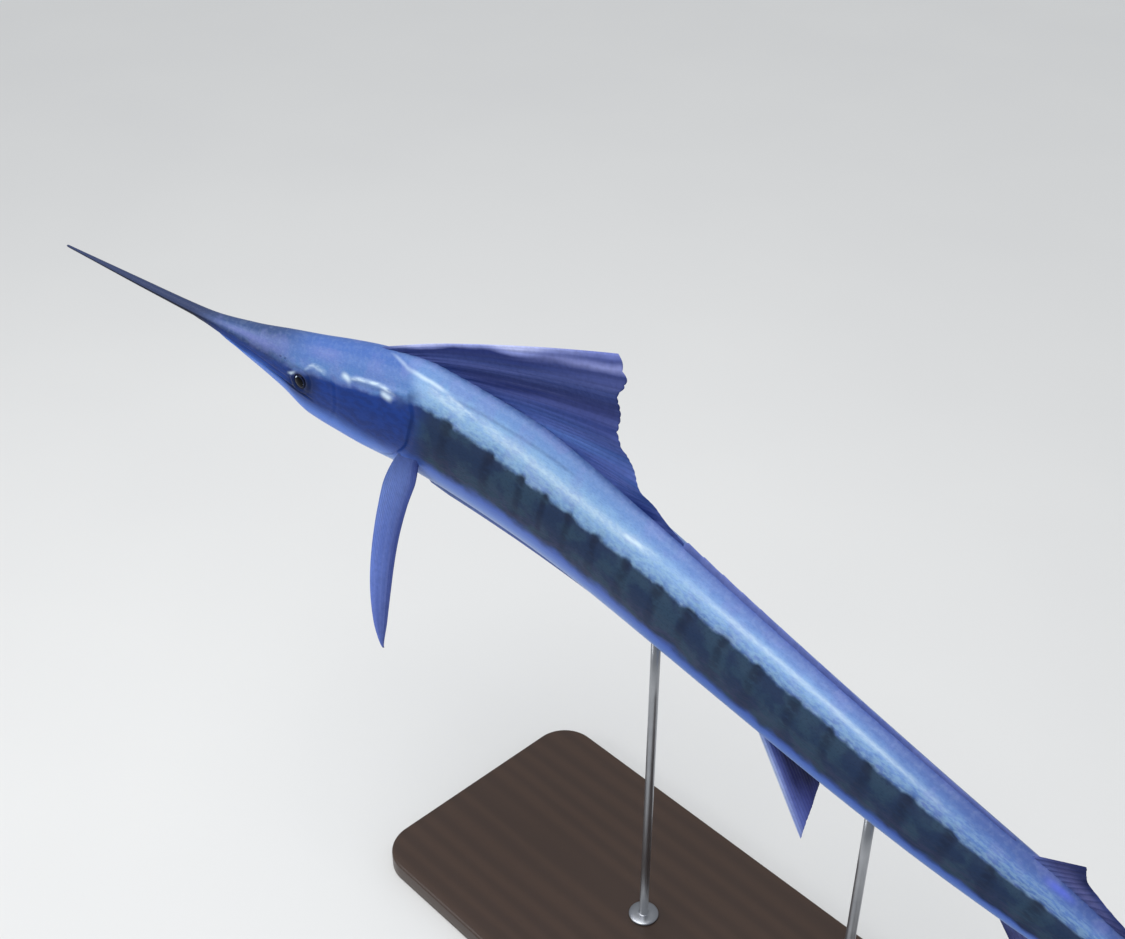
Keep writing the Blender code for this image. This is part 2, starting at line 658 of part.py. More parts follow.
def build_caudal(body, material):
    """The upper and lower lobes of the tail fin."""
    across, crests = ray_columns(CAUDAL_RAYS)
    steps = np.linspace(0, 1, CAUDAL_ROWS)
    root_up = CAUDAL_ROOT_HEIGHT + (CAUDAL_SEAM - CAUDAL_ROOT_HEIGHT) * across
    root = (CAUDAL_ROOT + CAUDAL_ROOT_LENGTH * across ** CAUDAL_ROOT_ROUND, root_up)
    tip, control, fork = (np.array(point)[:, None] for point in (CAUDAL_TIP, CAUDAL_CONTROL, CAUDAL_FORK))
    t = across ** CAUDAL_SPREAD
    edge = tip * (1 - t) ** 2 + 2 * control * t * (1 - t) + fork * t ** 2
    along, up = fan(root, edge, steps)
    bulge = CAUDAL_SWEEP * (1 - across) ** 2 * 4 * steps[:, None] * (1 - steps[:, None])
    along, up = along - bulge, up + CAUDAL_FULLNESS * bulge
    for name, way in (("caudal_fin_upper", 1), ("caudal_fin_lower", -1)):
        thickness = ray_thickness(steps, crests, CAUDAL_RAY_ROOT)
        cut(sheet(name, place(along, 0.0, up * way), thickness, material), [body])


def build_pectorals(body, material):
    """The two long curved fins low behind the gill covers."""
    across, crests = ray_columns(PECTORAL_RAYS)
    steps = np.linspace(0, 1, PECTORAL_ROWS)
    ends = [np.array((along, *section_point(along, turn, -EMBED))) for along, turn in PECTORAL_ROOT]
    middle_root = (ends[0] + ends[1]) / 2
    root_chord = (ends[1] - ends[0]) / np.linalg.norm(ends[1] - ends[0])
    chord = np.array(PECTORAL_CHORD)
    at_root = np.clip(1 - steps / PECTORAL_TWIST_END, 0, 1)[:, None]
    direction = chord * (1 - at_root) + root_chord * at_root
    direction /= np.linalg.norm(direction, axis=1, keepdims=True)
    bow = PECTORAL_BOW * np.clip(np.sin(math.pi * steps), 0, 1) ** PECTORAL_BOW_FULLNESS
    spine = middle_root + steps[:, None] * np.array(PECTORAL_REACH) - bow[:, None] * chord
    reach = smooth_curve(PECTORAL_WIDTHS, steps)[:, None] * (across - PECTORAL_LEAD)
    grid = spine[:, None, :] + direction[:, None, :] * reach[..., None]
    for name, mirror in (("pectoral_fin_left", 1), ("pectoral_fin_right", -1)):
        points = place(grid[..., 0], grid[..., 1] * mirror, grid[..., 2])
        cut(sheet(name, points, ray_thickness(steps, crests, PECTORAL_RAY_ROOT), material), [body])


def build_pelvics(body, material):
    """The two narrow fins laid back along the belly."""
    turn = np.arange(PELVIC_SIDES) * 2 * math.pi / PELVIC_SIDES
    for name, mirror in (("pelvic_fin_left", 1), ("pelvic_fin_right", -1)):
        rings = []
        for step in np.linspace(0, 1, PELVIC_RINGS):
            along = PELVIC_START + PELVIC_LENGTH * step
            growth = PELVIC_ROOT_SIZE + (1 - PELVIC_ROOT_SIZE) * min(step / PELVIC_ROOT_REACH, 1)
            size = growth * (1 - (1 - PELVIC_TIP_SIZE) * step ** 3)
            middle = mirror * PELVIC_SIDE * (1 - PELVIC_CLOSING * step)
            hang = PELVIC_HANG * math.sin(math.pi * step)
            side = middle + PELVIC_THICKNESS / 2 * size * np.sin(turn)
            up = PELVIC_WIDTH * size * np.cos(turn) - section_size(along, BELLY) - hang
            rings.append(place(along, side, up))
        cut(loft(name, rings, material), [body])


def base_outline(inset, height):
    """World points round the base's outline at one height, inset from its edge."""
    points = []
    for quarter, (way_x, way_y) in enumerate(((1, 1), (-1, 1), (-1, -1), (1, -1))):
        turns = np.linspace(0, math.pi / 2, CORNER_POINTS) + quarter * math.pi / 2
        x = way_x * (BASE_LENGTH / 2 - BASE_CORNER) + (BASE_CORNER - inset) * np.cos(turns)
        y = way_y * (BASE_WIDTH / 2 - BASE_CORNER) + (BASE_CORNER - inset) * np.sin(turns)
        points.append(np.stack((x, y, np.full(CORNER_POINTS, height)), -1))
    return np.concatenate(points)


def build_stand(body, wood, steel):
    """A flat base with round corners and two short rods up to the belly."""
    levels = ((0, 0), (0, BASE_HEIGHT - BASE_EDGE), (BASE_EDGE, BASE_HEIGHT))
    loft("stand_base", [base_outline(inset, height) for inset, height in levels], wood)
    turn = np.arange(ROD_SIDES) * 2 * math.pi / ROD_SIDES
    for name, along in ROD_PLACES:
        spot = place(along, 0.0, -section_size(along, BELLY))
        profile = (
            (BASE_HEIGHT + GAP, FOOT_RADIUS),
            (BASE_HEIGHT + FOOT_HEIGHT * FOOT_RIM, FOOT_RADIUS),
            (BASE_HEIGHT + FOOT_HEIGHT, FOOT_RADIUS * FOOT_SLOPE),
            (BASE_HEIGHT + FOOT_HEIGHT, ROD_RADIUS),
            (spot[2] + ROD_SPARE, ROD_RADIUS),
        )
        rings = []
        for height, radius in profile:
            x, y = spot[0] + radius * np.cos(turn), spot[1] + radius * np.sin(turn)
            rings.append(np.stack((x, y, np.full(ROD_SIDES, height)), -1))
        cut(loft(name, rings, steel), [body])


def build():
    """Clear the scene and make every piece."""
    for obj in list(bpy.data.objects):
        bpy.data.objects.remove(obj, do_unlink=True)
    skin = make_material("skin", (0.16, 0.24, 0.32), 0.35)
    belly = make_material("pale_skin", (0.45, 0.52, 0.60), 0.35)
    bill_skin = make_material("bill_skin", (0.06, 0.07, 0.09), 0.45)
    eye = make_material("eye", (0.01, 0.012, 0.02), 0.08)
    sail = make_material("sail_web", (0.07, 0.06, 0.16), 0.4)
    fin = make_material("fin_web", (0.18, 0.19, 0.30), 0.4)
    wood = make_material("stand_wood", (0.16, 0.09, 0.05), 0.4)
    steel = make_material("stand_steel", (0.55, 0.56, 0.58), 0.3, 1.0)
    build_bill(bill_skin)
    build_lower_jaw(belly)
    head = build_head(skin)
    torso = build_torso(skin)
    body = body_cutter(skin)
    build_eyes(head, eye)
    build_gill_covers(head, torso[0], skin)
    build_sail(body, sail)
    build_folded_sail(body, sail)
    build_middle_fins(body, sail)
    build_caudal(body, fin)
    build_pectorals(body, fin)
    build_pelvics(body, fin)
    build_stand(body, wood, steel)
    remove([body])


build()
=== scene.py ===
"""A life-size sailfish on a plain display stand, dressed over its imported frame.

Places on the fish are given in its own frame: along is a share of its length from the tip of the
lower jaw towards the tail, side is to its left and up towards its back, also as shares, and a turn
runs round a section from the back (0) to the belly (pi). Relief and thickness are in metres.
"""
import logging
import math
from collections.abc import Callable
from dataclasses import dataclass
from enum import Enum

import bpy
import numpy as np
from mathutils import Matrix, Vector


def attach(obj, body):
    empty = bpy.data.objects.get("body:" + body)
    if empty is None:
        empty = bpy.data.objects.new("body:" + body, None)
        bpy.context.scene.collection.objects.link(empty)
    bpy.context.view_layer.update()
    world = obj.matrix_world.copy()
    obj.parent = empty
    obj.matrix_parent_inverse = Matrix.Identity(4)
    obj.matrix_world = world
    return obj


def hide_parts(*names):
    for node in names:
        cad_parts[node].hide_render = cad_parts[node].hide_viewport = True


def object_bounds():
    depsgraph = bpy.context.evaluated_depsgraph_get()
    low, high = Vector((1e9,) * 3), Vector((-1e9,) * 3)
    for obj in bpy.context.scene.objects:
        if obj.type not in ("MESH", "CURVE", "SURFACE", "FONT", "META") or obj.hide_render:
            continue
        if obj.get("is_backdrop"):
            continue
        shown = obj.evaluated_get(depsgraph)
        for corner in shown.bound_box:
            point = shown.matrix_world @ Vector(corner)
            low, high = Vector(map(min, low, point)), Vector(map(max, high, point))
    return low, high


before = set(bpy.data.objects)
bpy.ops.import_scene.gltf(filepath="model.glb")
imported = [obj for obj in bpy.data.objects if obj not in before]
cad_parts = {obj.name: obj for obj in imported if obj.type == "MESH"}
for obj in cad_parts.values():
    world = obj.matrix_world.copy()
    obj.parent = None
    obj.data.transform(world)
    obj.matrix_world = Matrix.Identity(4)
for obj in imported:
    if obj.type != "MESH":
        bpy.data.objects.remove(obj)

Array = np.ndarray
Colour = tuple[float, float, float]
Stops = tuple[tuple[float, Colour], ...]
Material, Piece = bpy.types.Material, bpy.types.Object
Tree, Node, Socket = bpy.types.NodeTree, bpy.types.Node, bpy.types.NodeSocket

BODY = "root"
LIE = "lie"
BILL_SHARE = 0.161
SKIN_SHARE = 1.146
CAD_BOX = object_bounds()
log = logging.getLogger("sailfish")


class Flank(Enum):
    """Side of the fish that a paired piece is on."""

    LEFT = 1
    RIGHT = -1

    @property
    def label(self) -> str:
        """The side as the names of pieces spell it."""
        return self.name.lower()


class Way(Enum):
    """Edge of the body that a middle fin stands on."""

    BACK = 1
    BELLY = -1


class Blend(Enum):
    """How a row of colours runs from stop to stop."""

    STRAIGHT = "LINEAR"
    ROUNDED = "B_SPLINE"
    THROUGH = "CARDINAL"


def smooth_curve(points: tuple, x: Array | float) -> Array:
    """Cubic pieces through (place, value) points with harmonic mean slopes, so that none overshoots.

    Args:
        points: (place, value) pairs in rising order of place.
        x: Places to read, held between the first and the last.

    Returns:
        The value at each place.
    """
    knots, values = np.array(points, dtype=float).T
    step = np.diff(knots)
    slope = np.diff(values) / step
    tangent = np.zeros_like(values)
    tangent[0], tangent[-1] = slope[0], slope[-1]
    product = slope[:-1] * slope[1:]
    total = slope[:-1] + slope[1:]
    same_way = product > 0
    tangent[1:-1][same_way] = 2 * product[same_way] / total[same_way]
    x = np.clip(x, knots[0], knots[-1])
    i = np.clip(np.searchsorted(knots, x, side="right") - 1, 0, len(knots) - 2)
    t = (x - knots[i]) / step[i]
    start = values[i] * (1 + 2 * t) * (1 - t) ** 2 + tangent[i] * step[i] * t * (1 - t) ** 2
    end = values[i + 1] * t * t * (3 - 2 * t) + tangent[i + 1] * step[i] * t * t * (t - 1)
    return start + end


def smooth_step(low: float, high: float, x: Array) -> Array:
    """Zero below low, one above high, and 3t^2 - 2t^3 between."""
    t = np.clip((x - low) / (high - low), 0, 1)
    return t * t * (3 - 2 * t)


def window(begin: float, full: float, fall: float, end: float, x: Array) -> Array:
    """One from full to fall, easing to zero at begin and at end."""
    return smooth_step(begin, full, x) * (1 - smooth_step(fall, end, x))


def bell(x: Array, width: float) -> Array:
    """The hump exp(-(x / width)^2)."""
    return np.exp(-((x / width) ** 2))


def soft_ramp(distance: Array, softness: float) -> Array:
    """Zero behind, and ahead the hyperbola whose slope rises smoothly to one."""
    return np.hypot(np.clip(distance, 0, None), softness) - softness


def circle(count: int) -> Array:
    """Even turns round a full circle."""
    return np.arange(count) * 2 * math.pi / count


def stack(*values: Array) -> Array:
    """Values of like shape side by side in a last axis, as points or UV pairs."""
    return np.stack(np.broadcast_arrays(*values), -1)


@dataclass(frozen=True)
class Pose:
    """The bent and lifted axis of the swimming fish."""

    length: float = 1.80
    head_turn: float = math.radians(14.4)
    tail_turn: float = math.radians(6.5)
    head_dip: float = 0.109
    nose_lift: float = math.radians(12.6)
    turn_from: float = 0.20
    turn_to: float = 0.55
    dip_from: float = 0.25
    dip_softness: float = 0.04
    bill_rise: float = 0.045
    bill_rise_from: float = 0.02
    bill_rise_softness: float = 0.03
    middle: float = 0.45
    middle_x: float = -0.16
    middle_height: float = 0.73

    def heading(self, along: Array) -> Array:
        """Turn of the axis seen from above, an eased turn of the head and a growing one of the tail."""
        head = np.clip((self.turn_to - along) / (self.turn_to - self.turn_from), 0, 1)
        tail = np.clip((along - self.turn_to) / (1 - self.turn_to), 0, 1)
        return self.head_turn * head * head * (3 - 2 * head) + self.tail_turn * tail * tail

    def place(self, along: Array, side: Array, up: Array) -> Array:
        """World points of places in the fish's own frame.

        The axis is the running sum of steps along the heading, dipped at the head by soft ramps, and
        the whole is turned about the side axis by the nose's lift.

        Args:
            along: Share of the length from the lower jaw's tip.
            side: Share to the fish's left.
            up: Share towards its back.

        Returns:
            Points with a last axis of x, y and z in metres.
        """
        along, side, up = np.broadcast_arrays(along, side, up)
        shares = np.linspace(-0.2, 1.3, 601)
        step = shares[1] - shares[0]
        axis_x = np.cumsum(np.cos(self.heading(shares))) * step
        axis_y = np.cumsum(np.sin(self.heading(shares))) * step
        axis_x -= np.interp(self.middle, shares, axis_x)
        axis_y -= np.interp(self.middle, shares, axis_y)
        dip = self.head_dip * soft_ramp(self.dip_from - along, self.dip_softness)
        dip = dip - self.bill_rise * soft_ramp(self.bill_rise_from - along, self.bill_rise_softness)
        turn = self.heading(along)
        x = (np.interp(along, shares, axis_x) + side * np.sin(turn)) * self.length
        y = (np.interp(along, shares, axis_y) - side * np.cos(turn)) * self.length
        z = (up - dip) * self.length
        lift_cos, lift_sin = math.cos(self.nose_lift), math.sin(self.nose_lift)
        world_x = self.middle_x + x * lift_cos + z * lift_sin
        world_z = self.middle_height - x * lift_sin + z * lift_cos
        return stack(world_x, y, world_z)


@dataclass(frozen=True)
class BodyShape:
    """The plain body: an egg-shaped section at each share along it."""

    pose: Pose
    back: tuple = (
        (-0.159, 0.0013), (-0.080, 0.0030), (0.000, 0.0052), (0.060, 0.0155), (0.098, 0.0255),
        (0.130, 0.0338), (0.160, 0.0425), (0.190, 0.0501), (0.250, 0.0605), (0.330, 0.0610),
        (0.450, 0.0485), (0.600, 0.0400), (0.720, 0.0353), (0.815, 0.0312), (0.900, 0.0212),
        (0.955, 0.0172), (0.985, 0.0195),
    )
    belly: tuple = (
        (-0.159, 0.0013), (-0.080, 0.0030), (0.000, 0.0050), (0.060, 0.0238), (0.098, 0.0368),
        (0.130, 0.0517), (0.160, 0.0552), (0.190, 0.0572), (0.250, 0.0560), (0.330, 0.0572),
        (0.450, 0.0585), (0.600, 0.0521), (0.720, 0.0446), (0.815, 0.0343), (0.900, 0.0215),
        (0.955, 0.0172), (0.985, 0.0195),
    )
    half_width: tuple = (
        (-0.159, 0.0014), (-0.080, 0.0040), (0.000, 0.0064), (0.060, 0.0112), (0.098, 0.0162),
        (0.130, 0.0202), (0.160, 0.0228), (0.190, 0.0248), (0.250, 0.0268), (0.330, 0.0272),
        (0.450, 0.0258), (0.600, 0.0232), (0.720, 0.0198), (0.815, 0.0160), (0.900, 0.0115),
        (0.955, 0.0088), (0.985, 0.0066),
    )
    crest_narrowing: float = 0.16

    def half_height(self, along: Array) -> Array:
        """Half the section's height in metres."""
        return (smooth_curve(self.back, along) + smooth_curve(self.belly, along)) / 2 * self.pose.length

    def point(self, along: Array, turn: Array, proud: Array | float = 0.0) -> tuple[Array, Array]:
        """Side and up of the skin, an ellipse narrowed at the crest and moved along its normal.

        Args:
            along: Share along the body.
            turn: Turn round the section from the back.
            proud: Height above the plain skin in metres.

        Returns:
            Side and up as shares.
        """
        back, belly = smooth_curve(self.back, along), smooth_curve(self.belly, along)
        width = smooth_curve(self.half_width, along)
        middle, half = (back - belly) / 2, (back + belly) / 2
        upper = np.clip(np.cos(turn), 0, 1)
        side = width * np.sin(turn) * (1 - self.crest_narrowing * upper * upper)
        across, over = np.sin(turn) / width, np.cos(turn) / half
        size = np.hypot(across, over) * self.pose.length
        return side + proud * across / size, middle + half * np.cos(turn) + proud * over / size

    def frame_at(self, along: float, turn: float) -> tuple[Array, Array]:
        """Point and axes (tailward, round the section, outwards) of the skin at one place.

        Args:
            along: Share along the body.
            turn: Turn round the section, negative on the right side.

        Returns:
            The world point, and three unit rows.
        """
        small = 1e-3
        rows = np.array(((0, 0), (small, 0), (-small, 0), (0, small), (0, -small)))
        places, turns = along + rows[:, 0], turn + rows[:, 1]
        side, up = self.point(places, turns)
        points = self.pose.place(places, side, up)
        tailward = points[1] - points[2]
        normal = np.cross(tailward, points[3] - points[4])
        normal /= np.linalg.norm(normal)
        if normal @ (points[0] - self.pose.place(along, 0.0, 0.0)) < 0:
            normal = -normal
        third = np.cross(normal, tailward)
        third /= np.linalg.norm(third)
        return points[0], np.array((np.cross(third, normal), third, normal))


def link_object(name: str, data: bpy.types.ID) -> Piece:
    """A new object in the scene."""
    obj = bpy.data.objects.new(name, data)
    bpy.context.scene.collection.objects.link(obj)
    return obj


def mesh_object(name: str, points: Array, faces: list, uv: Array, material: Material) -> Piece:
    """A smooth-shaded closed mesh that rides on the body, turned so that its faces point outwards.

    Args:
        name: Name of the piece.
        points: World points, one row each.
        faces: Arrays of faces with 3 or 4 corners a row.
        uv: One row for each point.
        material: The piece's only material.

    Returns:
        The new object.
    """
    volume = 0.0
    for block in faces:
        for last in range(2, block.shape[1]):
            a, b, c = points[block[:, 0]], points[block[:, last - 1]], points[block[:, last]]
            volume += np.einsum("ij,ij->", a, np.cross(b, c))
    if volume < 0:
        faces = [block[:, ::-1] for block in faces]
    mesh = bpy.data.meshes.new(name)
    mesh.from_pydata(points.tolist(), [], [row for block in faces for row in block.tolist()])
    corners = np.empty(len(mesh.loops), dtype=np.int32)
    mesh.loops.foreach_get("vertex_index", corners)
    mesh.uv_layers.new(name=LIE).data.foreach_set("uv", uv[corners].astype(np.float32).ravel())
    mesh.materials.append(material)
    mesh.shade_smooth()
    obj = link_object(name, mesh)
    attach(obj, BODY)
    return obj


def tube(name: str, rings: Array, uv: Array, material: Material) -> Piece:
    """A profile carried along a path: rings of equal count joined by quads, a fan over each end.

    Args:
        name: Name of the piece.
        rings: Points by ring, by place round it, then x, y, z.
        uv: One pair for each point of the rings.
        material: The piece's material.

    Returns:
        The new object.
    """
    count, sides = rings.shape[:2]
    ends = np.stack((rings[0].mean(0), rings[-1].mean(0)))
    points = np.concatenate((rings.reshape(-1, 3), ends))
    marks = np.concatenate((uv.reshape(-1, 2), uv[0].mean(0)[None], uv[-1].mean(0)[None]))
    grid = np.arange(count * sides).reshape(count, sides)
    a, d = grid[:-1], grid[1:]
    quads = np.stack((a, np.roll(a, -1, 1), np.roll(d, -1, 1), d), -1).reshape(-1, 4)
    start = np.stack((np.roll(grid[0], -1), grid[0], np.full(sides, count * sides)), -1)
    end = np.stack((grid[-1], np.roll(grid[-1], -1), np.full(sides, count * sides + 1)), -1)
    return mesh_object(name, points, [quads, start, end], marks, material)


def web(name: str, middle: Array, half: Array, uv: Array, material: Material) -> Piece:
    """A thin closed sheet: a grid moved to both sides along its normals, with a rim of quads.

    Args:
        name: Name of the piece.
        middle: Points of the middle surface by row, by column, then x, y, z.
        half: Half the thickness at each point in metres.
        uv: One pair for each point of the grid.
        material: The piece's material.

    Returns:
        The new object.
    """
    rows, columns = middle.shape[:2]
    normal = np.cross(np.gradient(middle, axis=0), np.gradient(middle, axis=1))
    normal /= np.linalg.norm(normal, axis=2, keepdims=True) + 1e-12
    offset = normal * half[..., None]
    points = np.concatenate(((middle + offset).reshape(-1, 3), (middle - offset).reshape(-1, 3)))
    front = np.arange(rows * columns).reshape(rows, columns)
    back = front + rows * columns
    faces = [
        np.stack((front[:-1, :-1], front[:-1, 1:], front[1:, 1:], front[1:, :-1]), -1).reshape(-1, 4),
        np.stack((back[1:, :-1], back[1:, 1:], back[:-1, 1:], back[:-1, :-1]), -1).reshape(-1, 4),
    ]
    rim = np.concatenate((front[0, :-1], front[:-1, -1], front[-1, :0:-1], front[:0:-1, 0]))
    following = np.roll(rim, -1)
    faces.append(np.stack((following, rim, rim + rows * columns, following + rows * columns), -1))
    marks = np.concatenate((uv.reshape(-1, 2), uv.reshape(-1, 2)))
    return mesh_object(name, points, faces, marks, material)


def grid_marks(rows: Array, columns: Array) -> Array:
    """UV pairs of a grid: its column places across and its row places up."""
    return stack(columns[None, :], rows[:, None])


@dataclass(frozen=True)
class Ridge:
    """A rounded ridge of a height, or a groove where it is negative, at a distance and with a width."""

    height: float
    at: float
    width: float

    def over(self, distance: Array) -> Array:
        """Its height at each distance, a bell round its own."""
        return self.height * bell(distance - self.at, self.width)


@dataclass(frozen=True)
class HeadRelief:
    """Folds, edges and hollows of the head and keels of the tail, as heights over the plain skin."""

    shape: BodyShape
    eye_along: float = 0.1250
    eye_turn: float = math.radians(86)
    eye_margin: float = 0.0122
    eye_hollow: float = 0.0070
    eye_rim: float = 0.0014
    lid_fold: Ridge = Ridge(0.0018, 0.0165, 0.0040)
    lid_crease: Ridge = Ridge(-0.0007, 0.0225, 0.0022)
    brow_height: float = 0.0014
    brow_length: float = 0.030
    brow_width: float = 0.008
    brow_above: float = 0.024
    mouth_drop: float = 0.0047
    mouth_slope: float = 0.102
    mouth_corner: float = 0.140
    mouth_groove: Ridge = Ridge(-0.0017, 0.0, 0.0012)
    lip: Ridge = Ridge(0.0009, 0.0036, 0.0019)
    jaw_seam: Ridge = Ridge(-0.0005, 0.0105, 0.0016)
    jaw_tip: Ridge = Ridge(-0.0016, 0.0, 0.006)
    jaw_start: float = -0.005
    nostril_spots: tuple = ((0.1000, math.radians(68)), (0.1055, math.radians(67)))
    nostril_rim: Ridge = Ridge(0.0005, 0.0034, 0.0012)
    nostril_pit: Ridge = Ridge(-0.0022, 0.0, 0.0019)
    cover_top: float = math.radians(56)
    cover_turn: float = math.radians(94)
    cover_front: float = 0.172
    cover_rear: tuple = (
        (0.0, 0.2330), (0.20, 0.2415), (0.46, 0.2395), (0.72, 0.2265), (1.0, 0.2000), (1.3, 0.1650),
    )
    cover_proud: float = 0.0014
    cover_slit: float = 0.0016
    cover_seam: Ridge = Ridge(-0.0005, 0.0, 0.0016)
    cover_ridge: Ridge = Ridge(0.0012, 0.0, 0.0035)
    cover_groove: Ridge = Ridge(-0.0009, 0.0085, 0.0035)
    cover_ridge_turn: float = math.radians(57)
    cheek_top: float = math.radians(60)
    cheek_turn: float = math.radians(85)
    cheek_edge: Ridge = Ridge(0.0004, -0.005, 0.004)
    cheek_groove: Ridge = Ridge(-0.0005, 0.0, 0.0030)
    throat_fold: float = 0.0005
    throat_fold_space: float = 0.0140
    side_line: tuple = ((0.245, 1.02), (0.30, 1.15), (0.42, 1.48), (0.60, 1.56), (0.96, 1.57))
    side_groove: Ridge = Ridge(-0.0004, 0.0, 0.0016)
    keel_turns: tuple = (math.radians(76), math.radians(104))
    keel_width: float = math.radians(9)
    keel_height: float = 0.0055
    keel_middle: float = 0.962
    keel_reach: float = 0.026

    def behind(self, along: Array, spot: Array | float) -> Array:
        """Metres tailward of a spot along the body."""
        return (along - spot) * self.shape.pose.length

    def below(self, along: Array, turn: Array, spot: Array | float) -> Array:
        """Metres below a turn round the section."""
        return (turn - spot) * self.shape.half_height(along)

    def lids(self, along: Array, turn: Array) -> Array:
        """A ring fold round the eye, a crease outside it, a bony brow, and the eye's hollow.

        Args:
            along: Share along the body.
            turn: Turn round the section from the back.

        Returns:
            Height in metres.
        """
        behind, below = self.behind(along, self.eye_along), self.below(along, turn, self.eye_turn)
        reach = np.hypot(behind, below)
        off_brow = -((behind / self.brow_length) ** 2) - ((below + self.brow_above) / self.brow_width) ** 2
        brow = self.brow_height * np.exp(off_brow)
        flat = smooth_step(self.eye_margin - self.eye_rim, self.eye_margin, reach)
        hollow = -self.eye_hollow * (1 - flat)
        return self.lid_fold.over(reach) + self.lid_crease.over(reach) + brow + hollow

    def mouth(self, along: Array, turn: Array) -> Array:
        """A groove on the straight line between the jaws, with a lip to each side of it.

        Args:
            along: Share along the body.
            turn: Turn round the section from the back.

        Returns:
            Height in metres.
        """
        up = self.shape.point(along, turn)[1]
        over = (up + self.mouth_drop + self.mouth_slope * along) * self.shape.pose.length
        there = smooth_step(-0.006, 0.004, along)
        there = there * (1 - smooth_step(-0.010, 0.004, along - self.mouth_corner))
        jaw_seam = self.jaw_seam.over(over) * smooth_step(0.04, 0.07, along)
        before_jaw = self.jaw_tip.over(self.behind(along, self.jaw_start)) * smooth_step(0.0, -0.002, over)
        return (self.mouth_groove.over(over) + self.lip.over(np.abs(over)) + jaw_seam) * there + before_jaw

    def nostrils(self, along: Array, turn: Array) -> Array:
        """Two small rimmed pits ahead of the eye.

        Args:
            along: Share along the body.
            turn: Turn round the section from the back.

        Returns:
            Height in metres.
        """
        total = np.zeros(np.broadcast(along, turn).shape)
        for spot, spot_turn in self.nostril_spots:
            reach = np.hypot(self.behind(along, spot), self.below(along, turn, spot_turn))
            total += self.nostril_rim.over(reach) + self.nostril_pit.over(reach)
        return total

    def gill_cover(self, along: Array, turn: Array) -> Array:
        """A plate that rises to its free rear edge, the slit behind it, and the edge's top ridge.

        Args:
            along: Share along the body.
            turn: Turn round the section from the back.

        Returns:
            Height in metres.
        """
        down = (turn - self.cover_top) / self.cover_turn
        rear = smooth_curve(self.cover_rear, down)
        behind = self.behind(along, rear)
        ramp = np.clip((along - self.cover_front) / (rear - self.cover_front), 0, 1) ** 2
        plate = self.cover_proud * ramp * (1 - smooth_step(-0.0003, 0.0014, behind))
        slit = -self.cover_slit * window(0.0, 0.0018, 0.0025, 0.0150, behind)
        below_top = self.below(along, turn, self.cover_ridge_turn)
        ridge = self.cover_ridge.over(below_top) + self.cover_groove.over(below_top)
        seam = self.cover_seam.over(self.behind(along, 0.228 - 0.05 * down))
        seam = seam * window(0.35, 0.45, 0.95, 1.05, down)
        plate = (plate + slit) * window(-0.07, 0.03, 0.78, 1.0, down)
        return plate + ridge * window(0.172, 0.182, 0.214, 0.232, along) + seam

    def cheek(self, along: Array, turn: Array) -> Array:
        """The crescent edge of the cheek bone, bowed backwards, with a groove behind it.

        Args:
            along: Share along the body.
            turn: Turn round the section from the back.

        Returns:
            Height in metres.
        """
        down = (turn - self.cheek_top) / self.cheek_turn
        bowed = np.clip(down, 0, 1)
        behind = self.behind(along, 0.158 + 0.013 * np.sin(np.pi * bowed) - 0.012 * bowed)
        relief = self.cheek_edge.over(behind) + self.cheek_groove.over(behind)
        return relief * window(0.0, 0.15, 0.85, 1.05, down)

    def throat(self, along: Array, turn: Array) -> Array:
        """Long thin folds of the gill skin under the throat."""
        below = (math.pi - turn) * self.shape.half_height(along) * 0.6
        there = window(0.10, 0.125, 0.175, 0.20, along) * (1 - smooth_step(0.020, 0.032, below))
        return self.throat_fold * (np.cos(2 * np.pi * below / self.throat_fold_space) - 1) * there

    def sides(self, along: Array, turn: Array) -> Array:
        """The fine groove of the side line."""
        below = self.below(along, turn, smooth_curve(self.side_line, along))
        return self.side_groove.over(below) * window(0.248, 0.27, 0.93, 0.96, along)

    def keels(self, along: Array, turn: Array) -> Array:
        """Two low keels on each side where the tail fin begins."""
        rise = sum(bell(turn - keel, self.keel_width) for keel in self.keel_turns)
        return self.keel_height * rise * np.exp(-(((along - self.keel_middle) / self.keel_reach) ** 4))

    def height(self, along: Array, turn: Array) -> Array:
        """All of the relief together."""
        parts = (self.lids, self.mouth, self.nostrils, self.gill_cover, self.cheek, self.throat, self.sides,
                 self.keels)
        return sum(part(along, turn) for part in parts)


